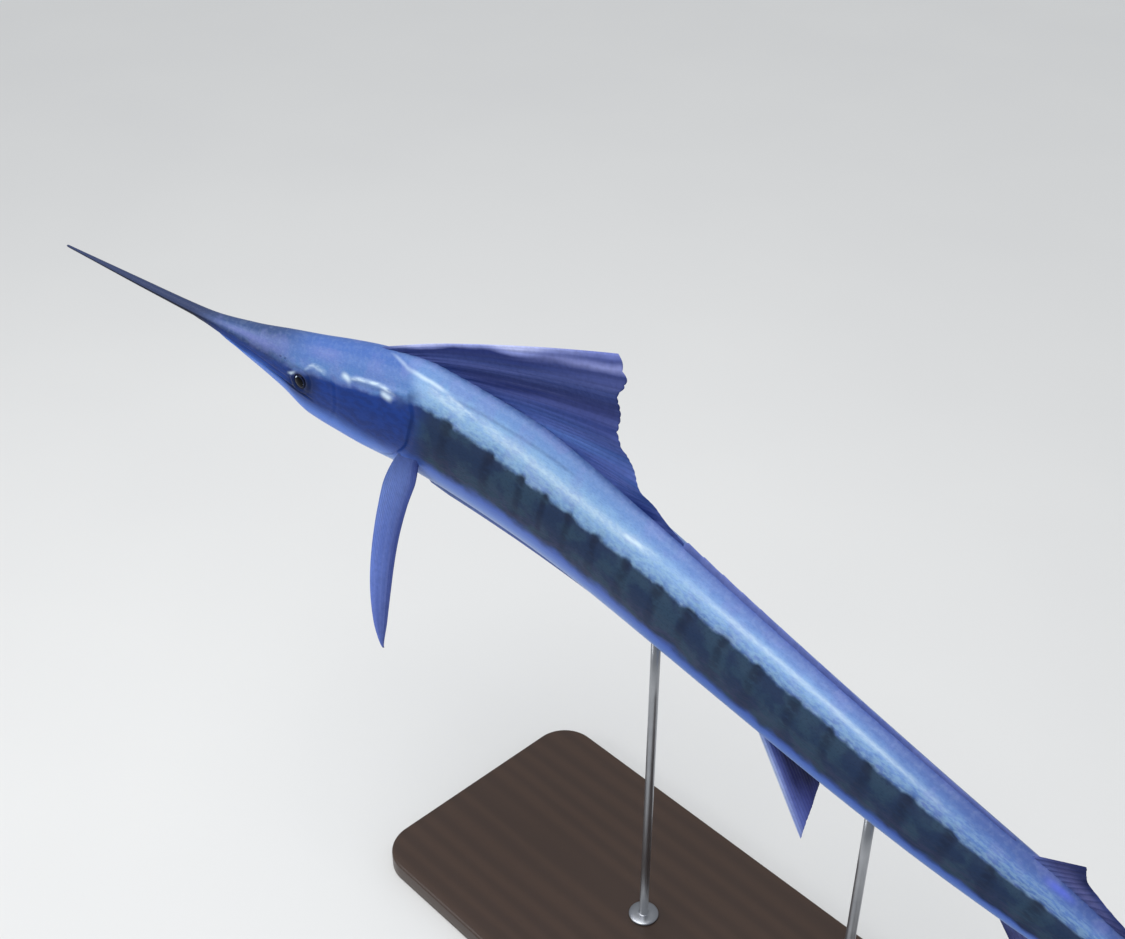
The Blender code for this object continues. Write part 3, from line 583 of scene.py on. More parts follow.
@dataclass(frozen=True)
class Skin:
    """One closed skin from the tip of the bill to the root of the tail fin."""

    shape: BodyShape
    relief: HeadRelief
    inset: float = 0.0004
    start: float = -0.1605
    end: float = 0.984
    cap: float = 0.0022
    end_cap: float = 0.010
    half_columns: int = 86
    spacing: tuple = (
        (-0.1605, 0.0004), (-0.154, 0.0040), (-0.030, 0.0040), (-0.008, 0.0013), (0.030, 0.0013),
        (0.100, 0.0008), (0.112, 0.0006), (0.140, 0.0006), (0.160, 0.0010), (0.250, 0.0010),
        (0.285, 0.0034), (0.900, 0.0048), (0.940, 0.0024), (0.984, 0.0012),
    )
    nodes: tuple = (
        "bill", "lower_jaw", "head", "gill_cover_left", "gill_cover_right",
        "torso_front", "torso_middle", "torso_rear", "tail_stem",
    )

    def ring_places(self) -> Array:
        """Shares of the rings: even steps through the running sum of one over the wanted spacing.

        Returns:
            Shares along the body.
        """
        fine = np.linspace(self.start, self.end, 8000)
        spaces = np.interp(fine, *np.array(self.spacing).T)
        counts = np.cumsum(0.5 / spaces[1:] + 0.5 / spaces[:-1]) * (fine[1] - fine[0])
        running = np.concatenate(([0.0], counts))
        return np.interp(np.linspace(0, running[-1], int(running[-1])), running, fine)

    def column_turns(self, along: Array) -> Array:
        """Turns down one side of each ring, closer at the height of the eye and mouth on the head.

        Args:
            along: Share along the body.

        Returns:
            Turns by ring and column.
        """
        turns = np.linspace(0, math.pi, 2000)
        running = np.cumsum(1 + 2.6 * bell(turns - math.radians(84), math.radians(24)))
        running = (running - running[0]) / (running[-1] - running[0])
        even = np.linspace(0, 1, self.half_columns + 1)
        close = np.interp(even, running, turns)
        head = 1 - smooth_step(0.16, 0.27, along)[:, None]
        return close * head + even * math.pi * (1 - head)

    def build(self, material: Material) -> Piece:
        """The skin as rings of points on the body's sections, raised by the relief.

        Args:
            material: The skin's finish.

        Returns:
            The piece, which stands for all the nodes of flesh.
        """
        places = self.ring_places()
        turns = self.column_turns(places)
        along = places[:, None] + 0 * turns
        side, up = self.shape.point(along, turns, self.relief.height(along, turns) - self.inset)
        before = np.clip((along - self.start) / self.cap, 0, 1)
        after = np.clip((self.end - along) / self.end_cap, 0, 1)
        size = np.sqrt(before * (2 - before)) * np.sqrt(after * (2 - after))
        left = self.shape.pose.place(along, side * size, up * size)
        right = self.shape.pose.place(along, -side * size, up * size)
        marks = stack(along_mark(along), turns / math.pi)
        rings = np.concatenate((left, right[:, -2:0:-1]), 1)[1:-1]
        uv = np.concatenate((marks, marks[:, -2:0:-1]), 1)[1:-1]
        skin = tube("skin", rings, uv, material)
        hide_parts(*self.nodes)
        return skin


def along_mark(along: Array | float) -> Array | float:
    """The skin's first UV value, 0 at the bill's tip and 1 at the end of the body."""
    return (along + BILL_SHARE) / SKIN_SHARE


@dataclass(frozen=True)
class Eyes:
    """Two flattened eyeballs sunk in their hollows."""

    shape: BodyShape
    relief: HeadRelief
    radius: float = 0.0178
    depth: float = 0.0119
    sink: float = 0.0092
    rows: int = 48
    sides: int = 64

    def build(self, material: Material) -> list[Piece]:
        """Ellipsoids of circles whose radius is a sine and whose height is a cosine of one angle.

        Args:
            material: The eye's finish, which reads the angle from the front as its second UV value.

        Returns:
            The left and the right eyeball.
        """
        level = np.linspace(0, math.pi, self.rows + 2)[1:-1, None]
        around = circle(self.sides)
        reach = self.radius * np.sin(level)
        flat = stack(reach * np.cos(around), reach * np.sin(around), self.depth * np.cos(level))
        uv = stack(around / (2 * math.pi), level / math.pi)
        eyes = []
        for flank in Flank:
            spot, axes = self.shape.frame_at(self.relief.eye_along, self.relief.eye_turn * flank.value)
            points = flat @ axes + spot - axes[2] * self.sink
            eye = tube(f"eyeball_{flank.label}", points, uv, material)
            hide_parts(f"eye_{flank.label}")
            eyes.append(eye)
        return eyes


@dataclass(frozen=True)
class RayWeb:
    """Thickness and edge of a thin fin whose rays are raised in its own surface."""

    rays: int
    root: float
    tip: float = 0.0012
    membrane: float = 0.0007
    ray_share: float = 0.20
    flare: float = 0.0016
    flare_reach: float = 0.10
    scallop: float = 0.02
    samples: int = 8

    def across(self) -> Array:
        """Column places from the first ray to the last, evenly spaced."""
        return np.linspace(0, 1, self.rays * self.samples + 1)

    def from_ray(self, across: Array) -> Array:
        """Distance from the nearest ray, 0 on it and 1 half-way to the next."""
        return 2 * np.abs(across * self.rays - np.floor(across * self.rays) - 0.5)

    def half_thickness(self, steps: Array, across: Array) -> Array:
        """Half thickness: a bell over each ray that thins to its tip, a fleshy root and a thin edge.

        Args:
            steps: Rows from 0 at the root to 1 at the edge.
            across: Columns from 0 at the first ray to 1 at the last.

        Returns:
            Metres by row and column.
        """
        ray = self.root + (self.tip - self.root) * steps[:, None]
        raised = (ray - self.membrane) * bell(self.from_ray(across), self.ray_share * 2)[None, :]
        fleshy = self.flare * bell(steps, self.flare_reach)[:, None]
        edge = 1 - 0.75 * smooth_step(0.96, 1.0, steps)[:, None]
        rim = 1 - 0.6 * bell(1 - across, 0.01)[None, :]
        return (self.membrane + raised + fleshy) / 2 * edge * rim

    def recede(self, across: Array) -> Array:
        """Share by which the web's edge draws back between rays, uneven from ray to ray."""
        uneven = 0.55 + 0.45 * np.sin(across * 37.0) * np.sin(across * 11.0 + 1.0)
        torn = 0.5 + 0.5 * np.sin(across * 53.0 + 2.0 * np.sin(across * 17.0))
        return self.scallop * (self.from_ray(across) ** 2 * uneven + 0.8 * torn)


def fan(base: tuple, edge: tuple, steps: Array, recede: Array) -> tuple[Array, Array]:
    """Along and up of straight rays from a fin's base to its edge, drawn back between them.

    Args:
        base: Along and up of the base for each column.
        edge: Along and up of the edge for each column.
        steps: Rows from 0 at the base to 1 at the edge.
        recede: Share by which each column falls short of the edge.

    Returns:
        Along and up by row and column.
    """
    reach = steps[:, None] * (1 - recede[None, :] * steps[:, None] ** 4)
    return base[0] + (edge[0] - base[0]) * reach, base[1] + (edge[1] - base[1]) * reach


def edge_line(points: tuple, step: Array) -> tuple[Array, Array]:
    """Along and up of a fin's edge, smooth curves through (step, along, up) points."""
    along = smooth_curve(tuple((row[0], row[1]) for row in points), step)
    return along, smooth_curve(tuple((row[0], row[2]) for row in points), step)


@dataclass(frozen=True)
class Sail:
    """The raised front of the first dorsal fin."""

    shape: BodyShape
    start: float = 0.186
    end: float = 0.489
    edge: tuple = (
        (0.00, 0.3985, 0.1652), (0.05, 0.4045, 0.1610), (0.13, 0.4115, 0.1475),
        (0.24, 0.4055, 0.1270), (0.34, 0.4085, 0.1105), (0.52, 0.4225, 0.0870),
        (0.68, 0.4390, 0.0675), (0.82, 0.4560, 0.0588), (1.00, 0.4890, 0.0485),
    )
    spread: float = 0.74
    rows: int = 84
    sink: float = 0.004
    arch: float = 0.0012
    ripple: float = 0.0045
    ripples: float = 3.5
    billow: float = 0.0007
    web: RayWeb = RayWeb(rays=30, root=0.0030, scallop=0.011, flare=0.0030, flare_reach=0.05)

    def build(self, material: Material) -> Piece:
        """Rays from the back to the torn edge, with sine ripples that die out towards the rear.

        Args:
            material: The sail's finish.

        Returns:
            The piece, which stands for both nodes of the sail.
        """
        across, steps = self.web.across(), np.linspace(0, 1, self.rows)
        base_along = self.start + (self.end - self.start) * across
        base = (base_along, smooth_curve(self.shape.back, base_along) - self.sink / self.shape.pose.length)
        edge = edge_line(self.edge, across ** self.spread)
        along, up = fan(base, edge, steps, self.web.recede(across))
        arch = self.arch * (1 - across) ** 3 * np.sin(np.pi * steps[:, None] ** 0.7)
        waves = np.sin(2 * np.pi * self.ripples * across)
        ripple = self.ripple * (1 - across) * waves * steps[:, None] ** 1.3
        slack = self.billow * (1 - self.web.from_ray(across)) ** 1.5 * np.sin(np.pi * steps[:, None] ** 0.8)
        points = self.shape.pose.place(along, ripple - slack, up + arch)
        half = self.web.half_thickness(steps, across)
        sail = web("sail_membrane", points, half, grid_marks(steps, across), material)
        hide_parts("sail_front", "sail_rear")
        return sail


@dataclass(frozen=True)
class FoldedSail:
    """The rear of the first dorsal fin, folded down in its groove along the back."""

    shape: BodyShape
    start: float = 0.4897
    end: float = 0.7895
    height: float = 0.0062
    width: float = 0.0029
    lift: float = 0.0005
    teeth: int = 16
    rows: int = 300
    sides: int = 20

    def build(self, material: Material) -> Piece:
        """A low tapering ridge, notched where each laid-back ray ends.

        Args:
            material: The sail's finish.

        Returns:
            The piece.
        """
        step = np.linspace(0, 1, self.rows)[:, None]
        turn = circle(self.sides)
        ends = np.clip(np.minimum(step, 1 - step) / 0.01, 0.05, 1) ** 0.5
        size = (1 - 0.75 * step) ** 0.8 * ends
        tooth = step * self.teeth - np.floor(step * self.teeth)
        along = self.start + (self.end - self.start) * step + 0 * turn
        side = self.width / 2 * size * np.sin(turn) * (1 - 0.35 * tooth)
        rise = np.cos(turn) * (1 - 0.16 * tooth * (np.cos(turn) > 0))
        up = smooth_curve(self.shape.back, along) + self.height * size * rise + self.lift
        uv = stack(0.6 + 0.4 * step, np.abs(turn / math.pi - 1) * 0.3)
        folded = tube("sail_folded_rays", self.shape.pose.place(along, side, up), uv, material)
        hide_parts("sail_folded")
        return folded


@dataclass(frozen=True)
class MiddleFin:
    """A small fin on the back or the belly."""

    shape: BodyShape
    name: str
    way: Way
    start: float
    end: float
    edge: tuple
    web: RayWeb
    rows: int = 60
    sink: float = 0.004

    def build(self, material: Material) -> Piece:
        """Rays from the body's middle line to the fin's edge.

        Args:
            material: The fin's finish.

        Returns:
            The piece.
        """
        across, steps = self.web.across(), np.linspace(0, 1, self.rows)
        base_along = self.start + (self.end - self.start) * across
        line = self.shape.back if self.way is Way.BACK else self.shape.belly
        base_up = smooth_curve(line, base_along) - self.sink / self.shape.pose.length
        edge = edge_line(self.edge, across)
        along, up = fan((base_along, self.way.value * base_up), edge, steps, self.web.recede(across))
        sway = 0.0005 * np.sin(across * 9.0) * steps[:, None] ** 2
        points = self.shape.pose.place(along, sway, up)
        half = self.web.half_thickness(steps, across)
        fin = web(f"{self.name}_web", points, half, grid_marks(steps, across), material)
        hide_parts(self.name)
        return fin


@dataclass(frozen=True)
class TailFin:
    """The tail fin, both lobes in one sheet."""

    shape: BodyShape
    root: float = 0.962
    root_length: float = 0.016
    root_height: float = 0.0165
    tip: tuple = (1.118, 0.205)
    control: tuple = (1.030, 0.085)
    fork: tuple = (1.004, 0.0)
    spread: float = 1.6
    sweep: float = 0.022
    fullness: float = 0.45
    rows: int = 90
    web: RayWeb = RayWeb(rays=17, root=0.0056, tip=0.0010, scallop=0.012, flare=0.0030, flare_reach=0.10)

    def build(self, material: Material) -> Piece:
        """Rays from the stem to a bent edge from tip to fork, the lower lobe mirroring the upper.

        Args:
            material: The fin's finish.

        Returns:
            The piece, which stands for both nodes of the tail fin.
        """
        across, steps = self.web.across(), np.linspace(0, 1, self.rows)
        root = (self.root + self.root_length * across ** 0.7, self.root_height * (1 - across))
        tip, control, fork = (np.array(point)[:, None] for point in (self.tip, self.control, self.fork))
        t = across ** self.spread
        edge = tip * (1 - t) ** 2 + 2 * control * t * (1 - t) + fork * t ** 2
        along, up = fan(root, edge, steps, self.web.recede(across))
        bulge = self.sweep * (1 - across) ** 2 * 4 * steps[:, None] * (1 - steps[:, None])
        along, up = along - bulge, up + self.fullness * bulge
        half = self.web.half_thickness(steps, across)
        half = np.concatenate((half, half[:, -2::-1]), 1)
        along, up = np.concatenate((along, along[:, -2::-1]), 1), np.concatenate((up, -up[:, -2::-1]), 1)
        marks = grid_marks(steps, np.concatenate((across, across[-2::-1])))
        fin = web("tail_fin_web", self.shape.pose.place(along, 0.0, up), half, marks, material)
        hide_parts("caudal_fin_upper", "caudal_fin_lower")
        return fin


@dataclass(frozen=True)
class PectoralFins:
    """The two long curved fins low behind the gill covers."""

    shape: BodyShape
    root: tuple = ((0.2310, math.radians(125)), (0.2495, math.radians(118)))
    reach: tuple = (0.0610, 0.0923, -0.1127)
    chord: tuple = (0.82, 0.0, 0.573)
    widths: tuple = (
        (0.00, 0.0210), (0.16, 0.0365), (0.42, 0.0320), (0.66, 0.0275), (0.86, 0.0180), (1.00, 0.0022),
    )
    bow: float = 0.0190
    bow_fullness: float = 0.7
    twist_end: float = 0.25
    lead: float = 0.45
    sink: float = 0.005
    rows: int = 96
    web: RayWeb = RayWeb(rays=17, root=0.0046, tip=0.0010, scallop=0.004, flare=0.0050, flare_reach=0.10)

    def build(self, material: Material) -> list[Piece]:
        """Chords of a given width set along a bowed spine, turning from the root's lie to their own.

        Args:
            material: The fins' finish.

        Returns:
            The left and the right fin.
        """
        across, steps = self.web.across(), np.linspace(0, 1, self.rows)
        ends = [np.array((along, *self.shape.point(along, turn, -self.sink))) for along, turn in self.root]
        root_chord = (ends[1] - ends[0]) / np.linalg.norm(ends[1] - ends[0])
        chord = np.array(self.chord)
        at_root = np.clip(1 - steps / self.twist_end, 0, 1)[:, None]
        direction = chord * (1 - at_root) + root_chord * at_root
        direction /= np.linalg.norm(direction, axis=1, keepdims=True)
        bow = self.bow * np.clip(np.sin(np.pi * steps), 0, 1) ** self.bow_fullness
        spine = (ends[0] + ends[1]) / 2 + steps[:, None] * np.array(self.reach) - bow[:, None] * chord
        width = smooth_curve(self.widths, steps)[:, None] * (across - self.lead)
        grid = spine[:, None, :] + direction[:, None, :] * width[..., None]
        cup = 0.0016 * (1 - (2 * across - 1) ** 2) * np.sin(np.pi * steps[:, None])
        half = self.web.half_thickness(steps, across) * (1 + 0.5 * bell(across, 0.10)[None, :])
        fins = []
        for flank in Flank:
            points = self.shape.pose.place(grid[..., 0], (grid[..., 1] - cup) * flank.value, grid[..., 2])
            fin = web(f"pectoral_web_{flank.label}", points, half, grid_marks(steps, across), material)
            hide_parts(f"pectoral_fin_{flank.label}")
            fins.append(fin)
        return fins


@dataclass(frozen=True)
class PelvicFins:
    """Two long narrow blades laid back along the belly."""

    shape: BodyShape
    start: float = 0.2525
    length: float = 0.213
    side: float = 0.0052
    closing: float = 0.25
    width: float = 0.0049
    thickness: float = 0.0029
    hang: float = 0.0008
    rows: int = 160
    sides: int = 24

    def build(self, material: Material) -> list[Piece]:
        """Flattened rings along the belly, with the low ridges of their few rays.

        Args:
            material: The fins' finish.

        Returns:
            The left and the right fin.
        """
        step = np.linspace(0, 1, self.rows)[:, None]
        turn = circle(self.sides)
        growth = 0.55 + 0.45 * np.clip(step / 0.10, 0, 1)
        ends = np.clip(np.minimum(step, 1 - step) / 0.012, 0.05, 1) ** 0.5
        size = growth * (1 - 0.75 * step ** 3) * ends
        along = self.start + self.length * step + 0 * turn
        ridges = 1 - 0.18 * np.cos(turn * 6) ** 2
        up = self.width * size * np.cos(turn) - smooth_curve(self.shape.belly, along)
        up = up - self.hang * np.sin(np.pi * step)
        uv = stack(np.abs(turn / math.pi - 1), step)
        fins = []
        for flank in Flank:
            middle = flank.value * self.side * (1 - self.closing * step)
            side = middle + self.thickness / 2 * size * np.sin(turn) * ridges
            fin = tube(f"pelvic_blade_{flank.label}", self.shape.pose.place(along, side, up), uv, material)
            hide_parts(f"pelvic_fin_{flank.label}")
            fins.append(fin)
        return fins


@dataclass(frozen=True)
class Stand:
    """A flat base with round corners and two rods."""

    shape: BodyShape
    length: float = 1.04
    width: float = 0.44
    height: float = 0.030
    corner: float = 0.060
    edge: float = 0.004
    chamfer: float = 0.0012
    gap: float = 0.0003
    rods: tuple = (("front", 0.490), ("rear", 0.700))
    rod_radius: float = 0.007
    foot_radius: float = 0.024
    foot_height: float = 0.006
    foot_edge: float = 0.0006
    fillet: float = 0.002
    rod_spare: float = 0.012
    sides: int = 64

    def outline(self, inset: Array, height: Array) -> Array:
        """Round-cornered rectangles, one for each inset and height, as four quarter circles.

        Args:
            inset: How far each outline lies inside the base's edge.
            height: Height of each outline.

        Returns:
            Points by ring and place round it.
        """
        turns = np.linspace(0, math.pi / 2, 25)
        x, y = [], []
        for quarter, (way_x, way_y) in enumerate(((1, 1), (-1, 1), (-1, -1), (1, -1))):
            turn = turns + quarter * math.pi / 2
            radius = self.corner - inset[:, None]
            x.append(way_x * (self.length / 2 - self.corner) + radius * np.cos(turn))
            y.append(way_y * (self.width / 2 - self.corner) + radius * np.sin(turn))
        x, y = np.concatenate(x, 1), np.concatenate(y, 1)
        return stack(x, y, height[:, None])

    def base(self, material: Material) -> Piece:
        """The base: outlines up a profile with a rounded upper edge.

        Args:
            material: The piece's finish.

        Returns:
            The piece.
        """
        turn = np.linspace(0, math.pi / 2, 7)
        round_in, round_up = self.edge * (1 - np.cos(turn)), self.edge * np.sin(turn)
        inset = np.concatenate(([self.chamfer, 0.0, 0.0], round_in, [0.012, 0.030, 0.054]))
        upper = self.height - self.edge + round_up
        height = np.concatenate(([0.0, self.chamfer, 0.012], upper, [self.height] * 3))
        rings = self.outline(inset, height)
        base = tube("base_board", rings, rings[..., :2], material)
        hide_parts("stand_base")
        return base

    def rod(self, name: str, share: float, material: Material) -> Piece:
        """A turned rod with a domed foot: one profile of height and radius carried round its axis.

        Args:
            name: Which rod it is.
            share: Share along the fish that it holds.
            material: The piece's finish.

        Returns:
            The piece.
        """
        top = self.shape.pose.place(share, 0.0, -smooth_curve(self.shape.belly, share))
        dome = np.linspace(0, math.pi / 2, 9)
        neck, low = self.rod_radius + self.fillet, self.height + self.gap
        foot_radius = neck + (self.foot_radius - self.rod_radius - self.fillet) * np.cos(dome)
        foot_height = low + 0.0022 + (self.foot_height - 0.0025) * np.sin(dome)
        shaft = np.linspace(self.height + self.foot_height + 0.0005, float(top[2]) + self.rod_spare, 6)
        edge_radius = [self.foot_radius - self.foot_edge, self.foot_radius]
        radius = np.concatenate((edge_radius, foot_radius, np.full(6, self.rod_radius)))[:, None]
        rise = np.concatenate(([low, low + self.foot_edge], foot_height, shaft))[:, None]
        turn = circle(self.sides)
        rings = stack(top[0] + radius * np.cos(turn), top[1] + radius * np.sin(turn), rise)
        rod = tube(f"rod_{name}", rings, stack(turn / (2 * math.pi), rise), material)
        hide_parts(f"stand_rod_{name}")
        return rod

    def build(self, wood: Material, steel: Material) -> list[Piece]:
        """The base and both rods."""
        return [self.base(wood)] + [self.rod(name, share, steel) for name, share in self.rods]


def srgb(red: float, green: float, blue: float) -> Colour:
    """A colour seen as 0 to 255 on a screen, as linear light."""
    seen = np.array((red, green, blue)) / 255
    linear = np.where(seen <= 0.04045, seen / 12.92, ((seen + 0.055) / 1.055) ** 2.4)
    return tuple(float(value) for value in linear)


def tones(*stops: tuple[float, float, float, float]) -> Stops:
    """A row of colours, each stop a place and the colour as 0 to 255 on a screen."""
    return tuple((place, srgb(*colour)) for place, *colour in stops)


class Nodes:
    """Adds nodes to the tree of a material or a group."""

    def __init__(self, tree: Tree) -> None:
        """Keep the tree that is filled."""
        self.tree = tree

    def feed(self, socket: Socket, value: object) -> None:
        """Link a socket, or set its number or colour.

        Args:
            socket: An input.
            value: A socket, a number or a colour.
        """
        if isinstance(value, Socket):
            self.tree.links.new(value, socket)
        elif isinstance(value, tuple) and socket.type == "RGBA":
            socket.default_value = (*value, 1.0)
        else:
            socket.default_value = value

    def fill(self, node: Node, **values: object) -> Node:
        """Feed inputs by name, with _ for a space."""
        for key, value in values.items():
            self.feed(node.inputs[key.replace("_", " ")], value)
        return node

    def add(self, kind: str, *values: object, **settings: object) -> Node:
        """A node with its settings, and its first inputs fed in order.

        Args:
            kind: Type of the node.
            values: What its first inputs are fed.
            settings: Its settings.

        Returns:
            The new node.
        """
        node = self.tree.nodes.new(kind)
        for key, value in settings.items():
            setattr(node, key, value)
        for socket, value in zip(node.inputs, values):
            self.feed(socket, value)
        return node

    def math(self, operation: str, *values: object) -> Socket:
        """One step of arithmetic."""
        return self.add("ShaderNodeMath", *values, operation=operation).outputs[0]

    def times(self, value: object, *factors: object) -> Socket:
        """A value times each factor in turn."""
        for factor in factors:
            value = self.math("MULTIPLY", value, factor)
        return value

    def minus(self, value: object, less: object) -> Socket:
        """A value less another."""
        return self.math("SUBTRACT", value, less)

    def apart(self, value: object, other: object) -> Socket:
        """How far apart two values are."""
        return self.math("ABSOLUTE", self.minus(value, other))

    def scaled(self, value: object, factor: object, added: object) -> Socket:
        """A value times a factor, plus another value."""
        return self.math("MULTIPLY_ADD", value, factor, added)

    def between(self, value: object, low: object, high: object) -> Socket:
        """A mask that rises smoothly from 0 at low to 1 at high."""
        return self.add("ShaderNodeMapRange", value, low, high, interpolation_type="SMOOTHSTEP").outputs[0]

    def remap(self, value: object, *ends: object) -> Socket:
        """A value moved evenly from its low and high ends to two others, 0 and 1 if not given."""
        return self.add("ShaderNodeMapRange", value, *ends).outputs[0]

    def mix(self, share: object, first: object, second: object) -> Socket:
        """Two colours mixed.

        Args:
            share: Share of the second.
            first: A colour.
            second: Another colour.

        Returns:
            The mixed colour.
        """
        node = self.add("ShaderNodeMix", data_type="RGBA")
        for index, value in ((0, share), (6, first), (7, second)):
            self.feed(node.inputs[index], value)
        return node.outputs[2]

    def tinted(self, colour: object, *coats: tuple[Socket, object, object]) -> Socket:
        """A colour with tones laid over it in turn, each through a mask and at a strength."""
        for mask, strength, tone in coats:
            colour = self.mix(self.times(mask, strength), colour, tone)
        return colour

    def row(self, value: Socket, stops: Stops, blend: Blend = Blend.STRAIGHT) -> Socket:
        """Colours in a row, read at a value.

        Args:
            value: Where the row is read.
            stops: Places and their colours.
            blend: The way between them.

        Returns:
            The colour.
        """
        node = self.add("ShaderNodeValToRGB", value)
        node.color_ramp.interpolation = blend.value
        elements = node.color_ramp.elements
        elements[0].position, elements[1].position = stops[0][0], stops[-1][0]
        elements[0].color, elements[1].color = (*stops[0][1], 1.0), (*stops[-1][1], 1.0)
        for place, colour in stops[1:-1]:
            elements.new(place).color = (*colour, 1.0)
        return node.outputs[0]

    def level(self, value: Socket, stops: tuple, blend: Blend = Blend.ROUNDED) -> Socket:
        """Plain numbers in a row, read at a value."""
        return self.row(value, tuple((place, (number,) * 3) for place, number in stops), blend)

    def noise(self, place: Socket, scale: object, detail: float = 3.0) -> Socket:
        """Cloudy values from 0 to 1."""
        return self.fill(self.add("ShaderNodeTexNoise", place), Scale=scale, Detail=detail).outputs[0]

    def stretched(self, place: Socket, scale: tuple, turn: tuple = (0.0, 0.0, 0.0)) -> Socket:
        """Coordinates turned and scaled by axis."""
        return self.fill(self.add("ShaderNodeMapping", place), Rotation=turn, Scale=scale).outputs[0]

    def object_place(self) -> Socket:
        """Object coordinates, in metres."""
        return self.add("ShaderNodeTexCoord").outputs["Object"]

    def lie(self) -> tuple[Socket, Socket]:
        """The two values of the piece's own UV map."""
        parts = self.add("ShaderNodeSeparateXYZ", self.add("ShaderNodeUVMap", uv_map=LIE).outputs[0])
        return parts.outputs[0], parts.outputs[1]

    def spread(self, first: Socket, first_scale: object, second: Socket, second_scale: object) -> Socket:
        """Two values, each times its scale, as coordinates on a plane."""
        scaled = self.times(first, first_scale), self.times(second, second_scale)
        return self.add("ShaderNodeCombineXYZ", *scaled).outputs[0]


def effect_group(name: str, recipe: Callable, inputs: tuple, outputs: tuple) -> Tree:
    """A shader group that other trees share.

    Args:
        name: Name of the group.
        recipe: Takes a node adder and the group's inputs in order, and returns what its outputs put out.
        inputs: Names of the inputs, of which Place is a vector and any other a number.
        outputs: Names of the outputs, all numbers.

    Returns:
        The group.
    """
    group = bpy.data.node_groups.new(name, "ShaderNodeTree")
    for side, labels in (("INPUT", inputs), ("OUTPUT", outputs)):
        for label in labels:
            kind = "NodeSocketVector" if label == "Place" else "NodeSocketFloat"
            group.interface.new_socket(label, in_out=side, socket_type=kind)
    nodes = Nodes(group)
    start, end = group.nodes.new("NodeGroupInput"), group.nodes.new("NodeGroupOutput")
    for socket, value in zip(end.inputs, recipe(nodes, *start.outputs[:len(inputs)])):
        nodes.feed(socket, value)
    return group


class Effects:
    """Shader groups that several finishes share."""

    def __init__(self) -> None:
        """Build each group once."""
        self.stroke = effect_group(
            "soft_stroke", self.soft_stroke,
            ("Along", "Turn", "Centre", "Half Wide", "Start", "End", "Fade"), ("Mask",))
        self.scales = effect_group("skin_scales", self.skin_scales, ("Place", "Fineness"), ("Height",))
        self.rays = effect_group(
            "fin_rays", self.fin_rays, ("Across", "Step", "Rays"), ("Ray", "Streak", "Height"))
        self.mottle = effect_group(
            "soft_mottle", self.soft_mottle, ("Place", "Scale", "Low", "High"), ("Mask",))

    @staticmethod
    def soft_stroke(nodes: Nodes, along: Socket, turn: Socket, centre: Socket, half_wide: Socket,
                    start: Socket, end: Socket, fade: Socket) -> tuple[Socket, ...]:
        """A soft line on the skin: full on its centre, none at its half width and past its ends.

        Args:
            nodes: Adder of nodes to the tree.
            along: First UV value.
            turn: Second UV value.
            centre: Turn of its centre.
            half_wide: Half its width.
            start: Where it starts.
            end: Where it ends.
            fade: Length over which each end fades.

        Returns:
            The mask.
        """
        line = nodes.between(nodes.math("DIVIDE", nodes.apart(turn, centre), half_wide), 1.0, 0.0)
        begun = nodes.between(nodes.minus(along, start), 0.0, fade)
        left = nodes.between(nodes.minus(end, along), 0.0, fade)
        return nodes.times(nodes.math("POWER", line, 1.7), nodes.times(begun, left)),

    @staticmethod
    def skin_scales(nodes: Nodes, place: Socket, fineness: Socket) -> tuple[Socket, ...]:
        """Height of long narrow scales set in the skin, with a finer grain over them.

        Args:
            nodes: Adder of nodes to the tree.
            place: Coordinates in metres.
            fineness: Scale of the cells.

        Returns:
            The height.
        """
        long_cells = nodes.stretched(place, (0.28, 1.0, 1.0), (0.0, -0.22, 0.0))
        cells = nodes.add("ShaderNodeTexVoronoi", long_cells, feature="SMOOTH_F1")
        nodes.fill(cells, Scale=fineness)
        grain = nodes.noise(place, 900.0, 2.0)
        return nodes.scaled(grain, 0.35, cells.outputs["Distance"]),

    @staticmethod
    def fin_rays(nodes: Nodes, across: Socket, step: Socket, rays: Socket) -> tuple[Socket, ...]:
        """Masks of a fin's rays and of the streaks that lie between them.

        Args:
            nodes: Adder of nodes to the tree.
            across: First UV value.
            step: Second UV value.
            rays: Number of rays.

        Returns:
            Masks of rays and streaks, and the height.
        """
        phase = nodes.math("FRACT", nodes.times(across, rays))
        ray = nodes.between(nodes.times(nodes.apart(phase, 0.5), 2.0), 0.45, 0.12)
        spread = nodes.spread(across, rays, step, 1.6)
        streak = nodes.between(nodes.noise(spread, 0.42), 0.40, 0.62)
        joints = nodes.math("SINE", nodes.times(step, 420.0))
        return ray, streak, nodes.scaled(nodes.times(joints, ray), 0.10, nodes.noise(spread, 4.0, 4.0))

    @staticmethod
    def soft_mottle(
            nodes: Nodes, place: Socket, scale: Socket, low: Socket, high: Socket) -> tuple[Socket, ...]:
        """A cloudy mask with a soft threshold."""
        return nodes.between(nodes.noise(place, scale, 5.0), low, high),

    @staticmethod
    def use(nodes: Nodes, group: Tree, **values: object) -> Node:
        """Place a group in a tree, its inputs given by name with _ for a space."""
        return nodes.fill(nodes.add("ShaderNodeGroup", node_tree=group), **values)


@dataclass(frozen=True)
class Gloss:
    """Numbers of a surface that are the same all over it."""

    metallic: float = 0.0
    specular: float = 0.5
    coat: float = 0.0
    coat_roughness: float = 0.15


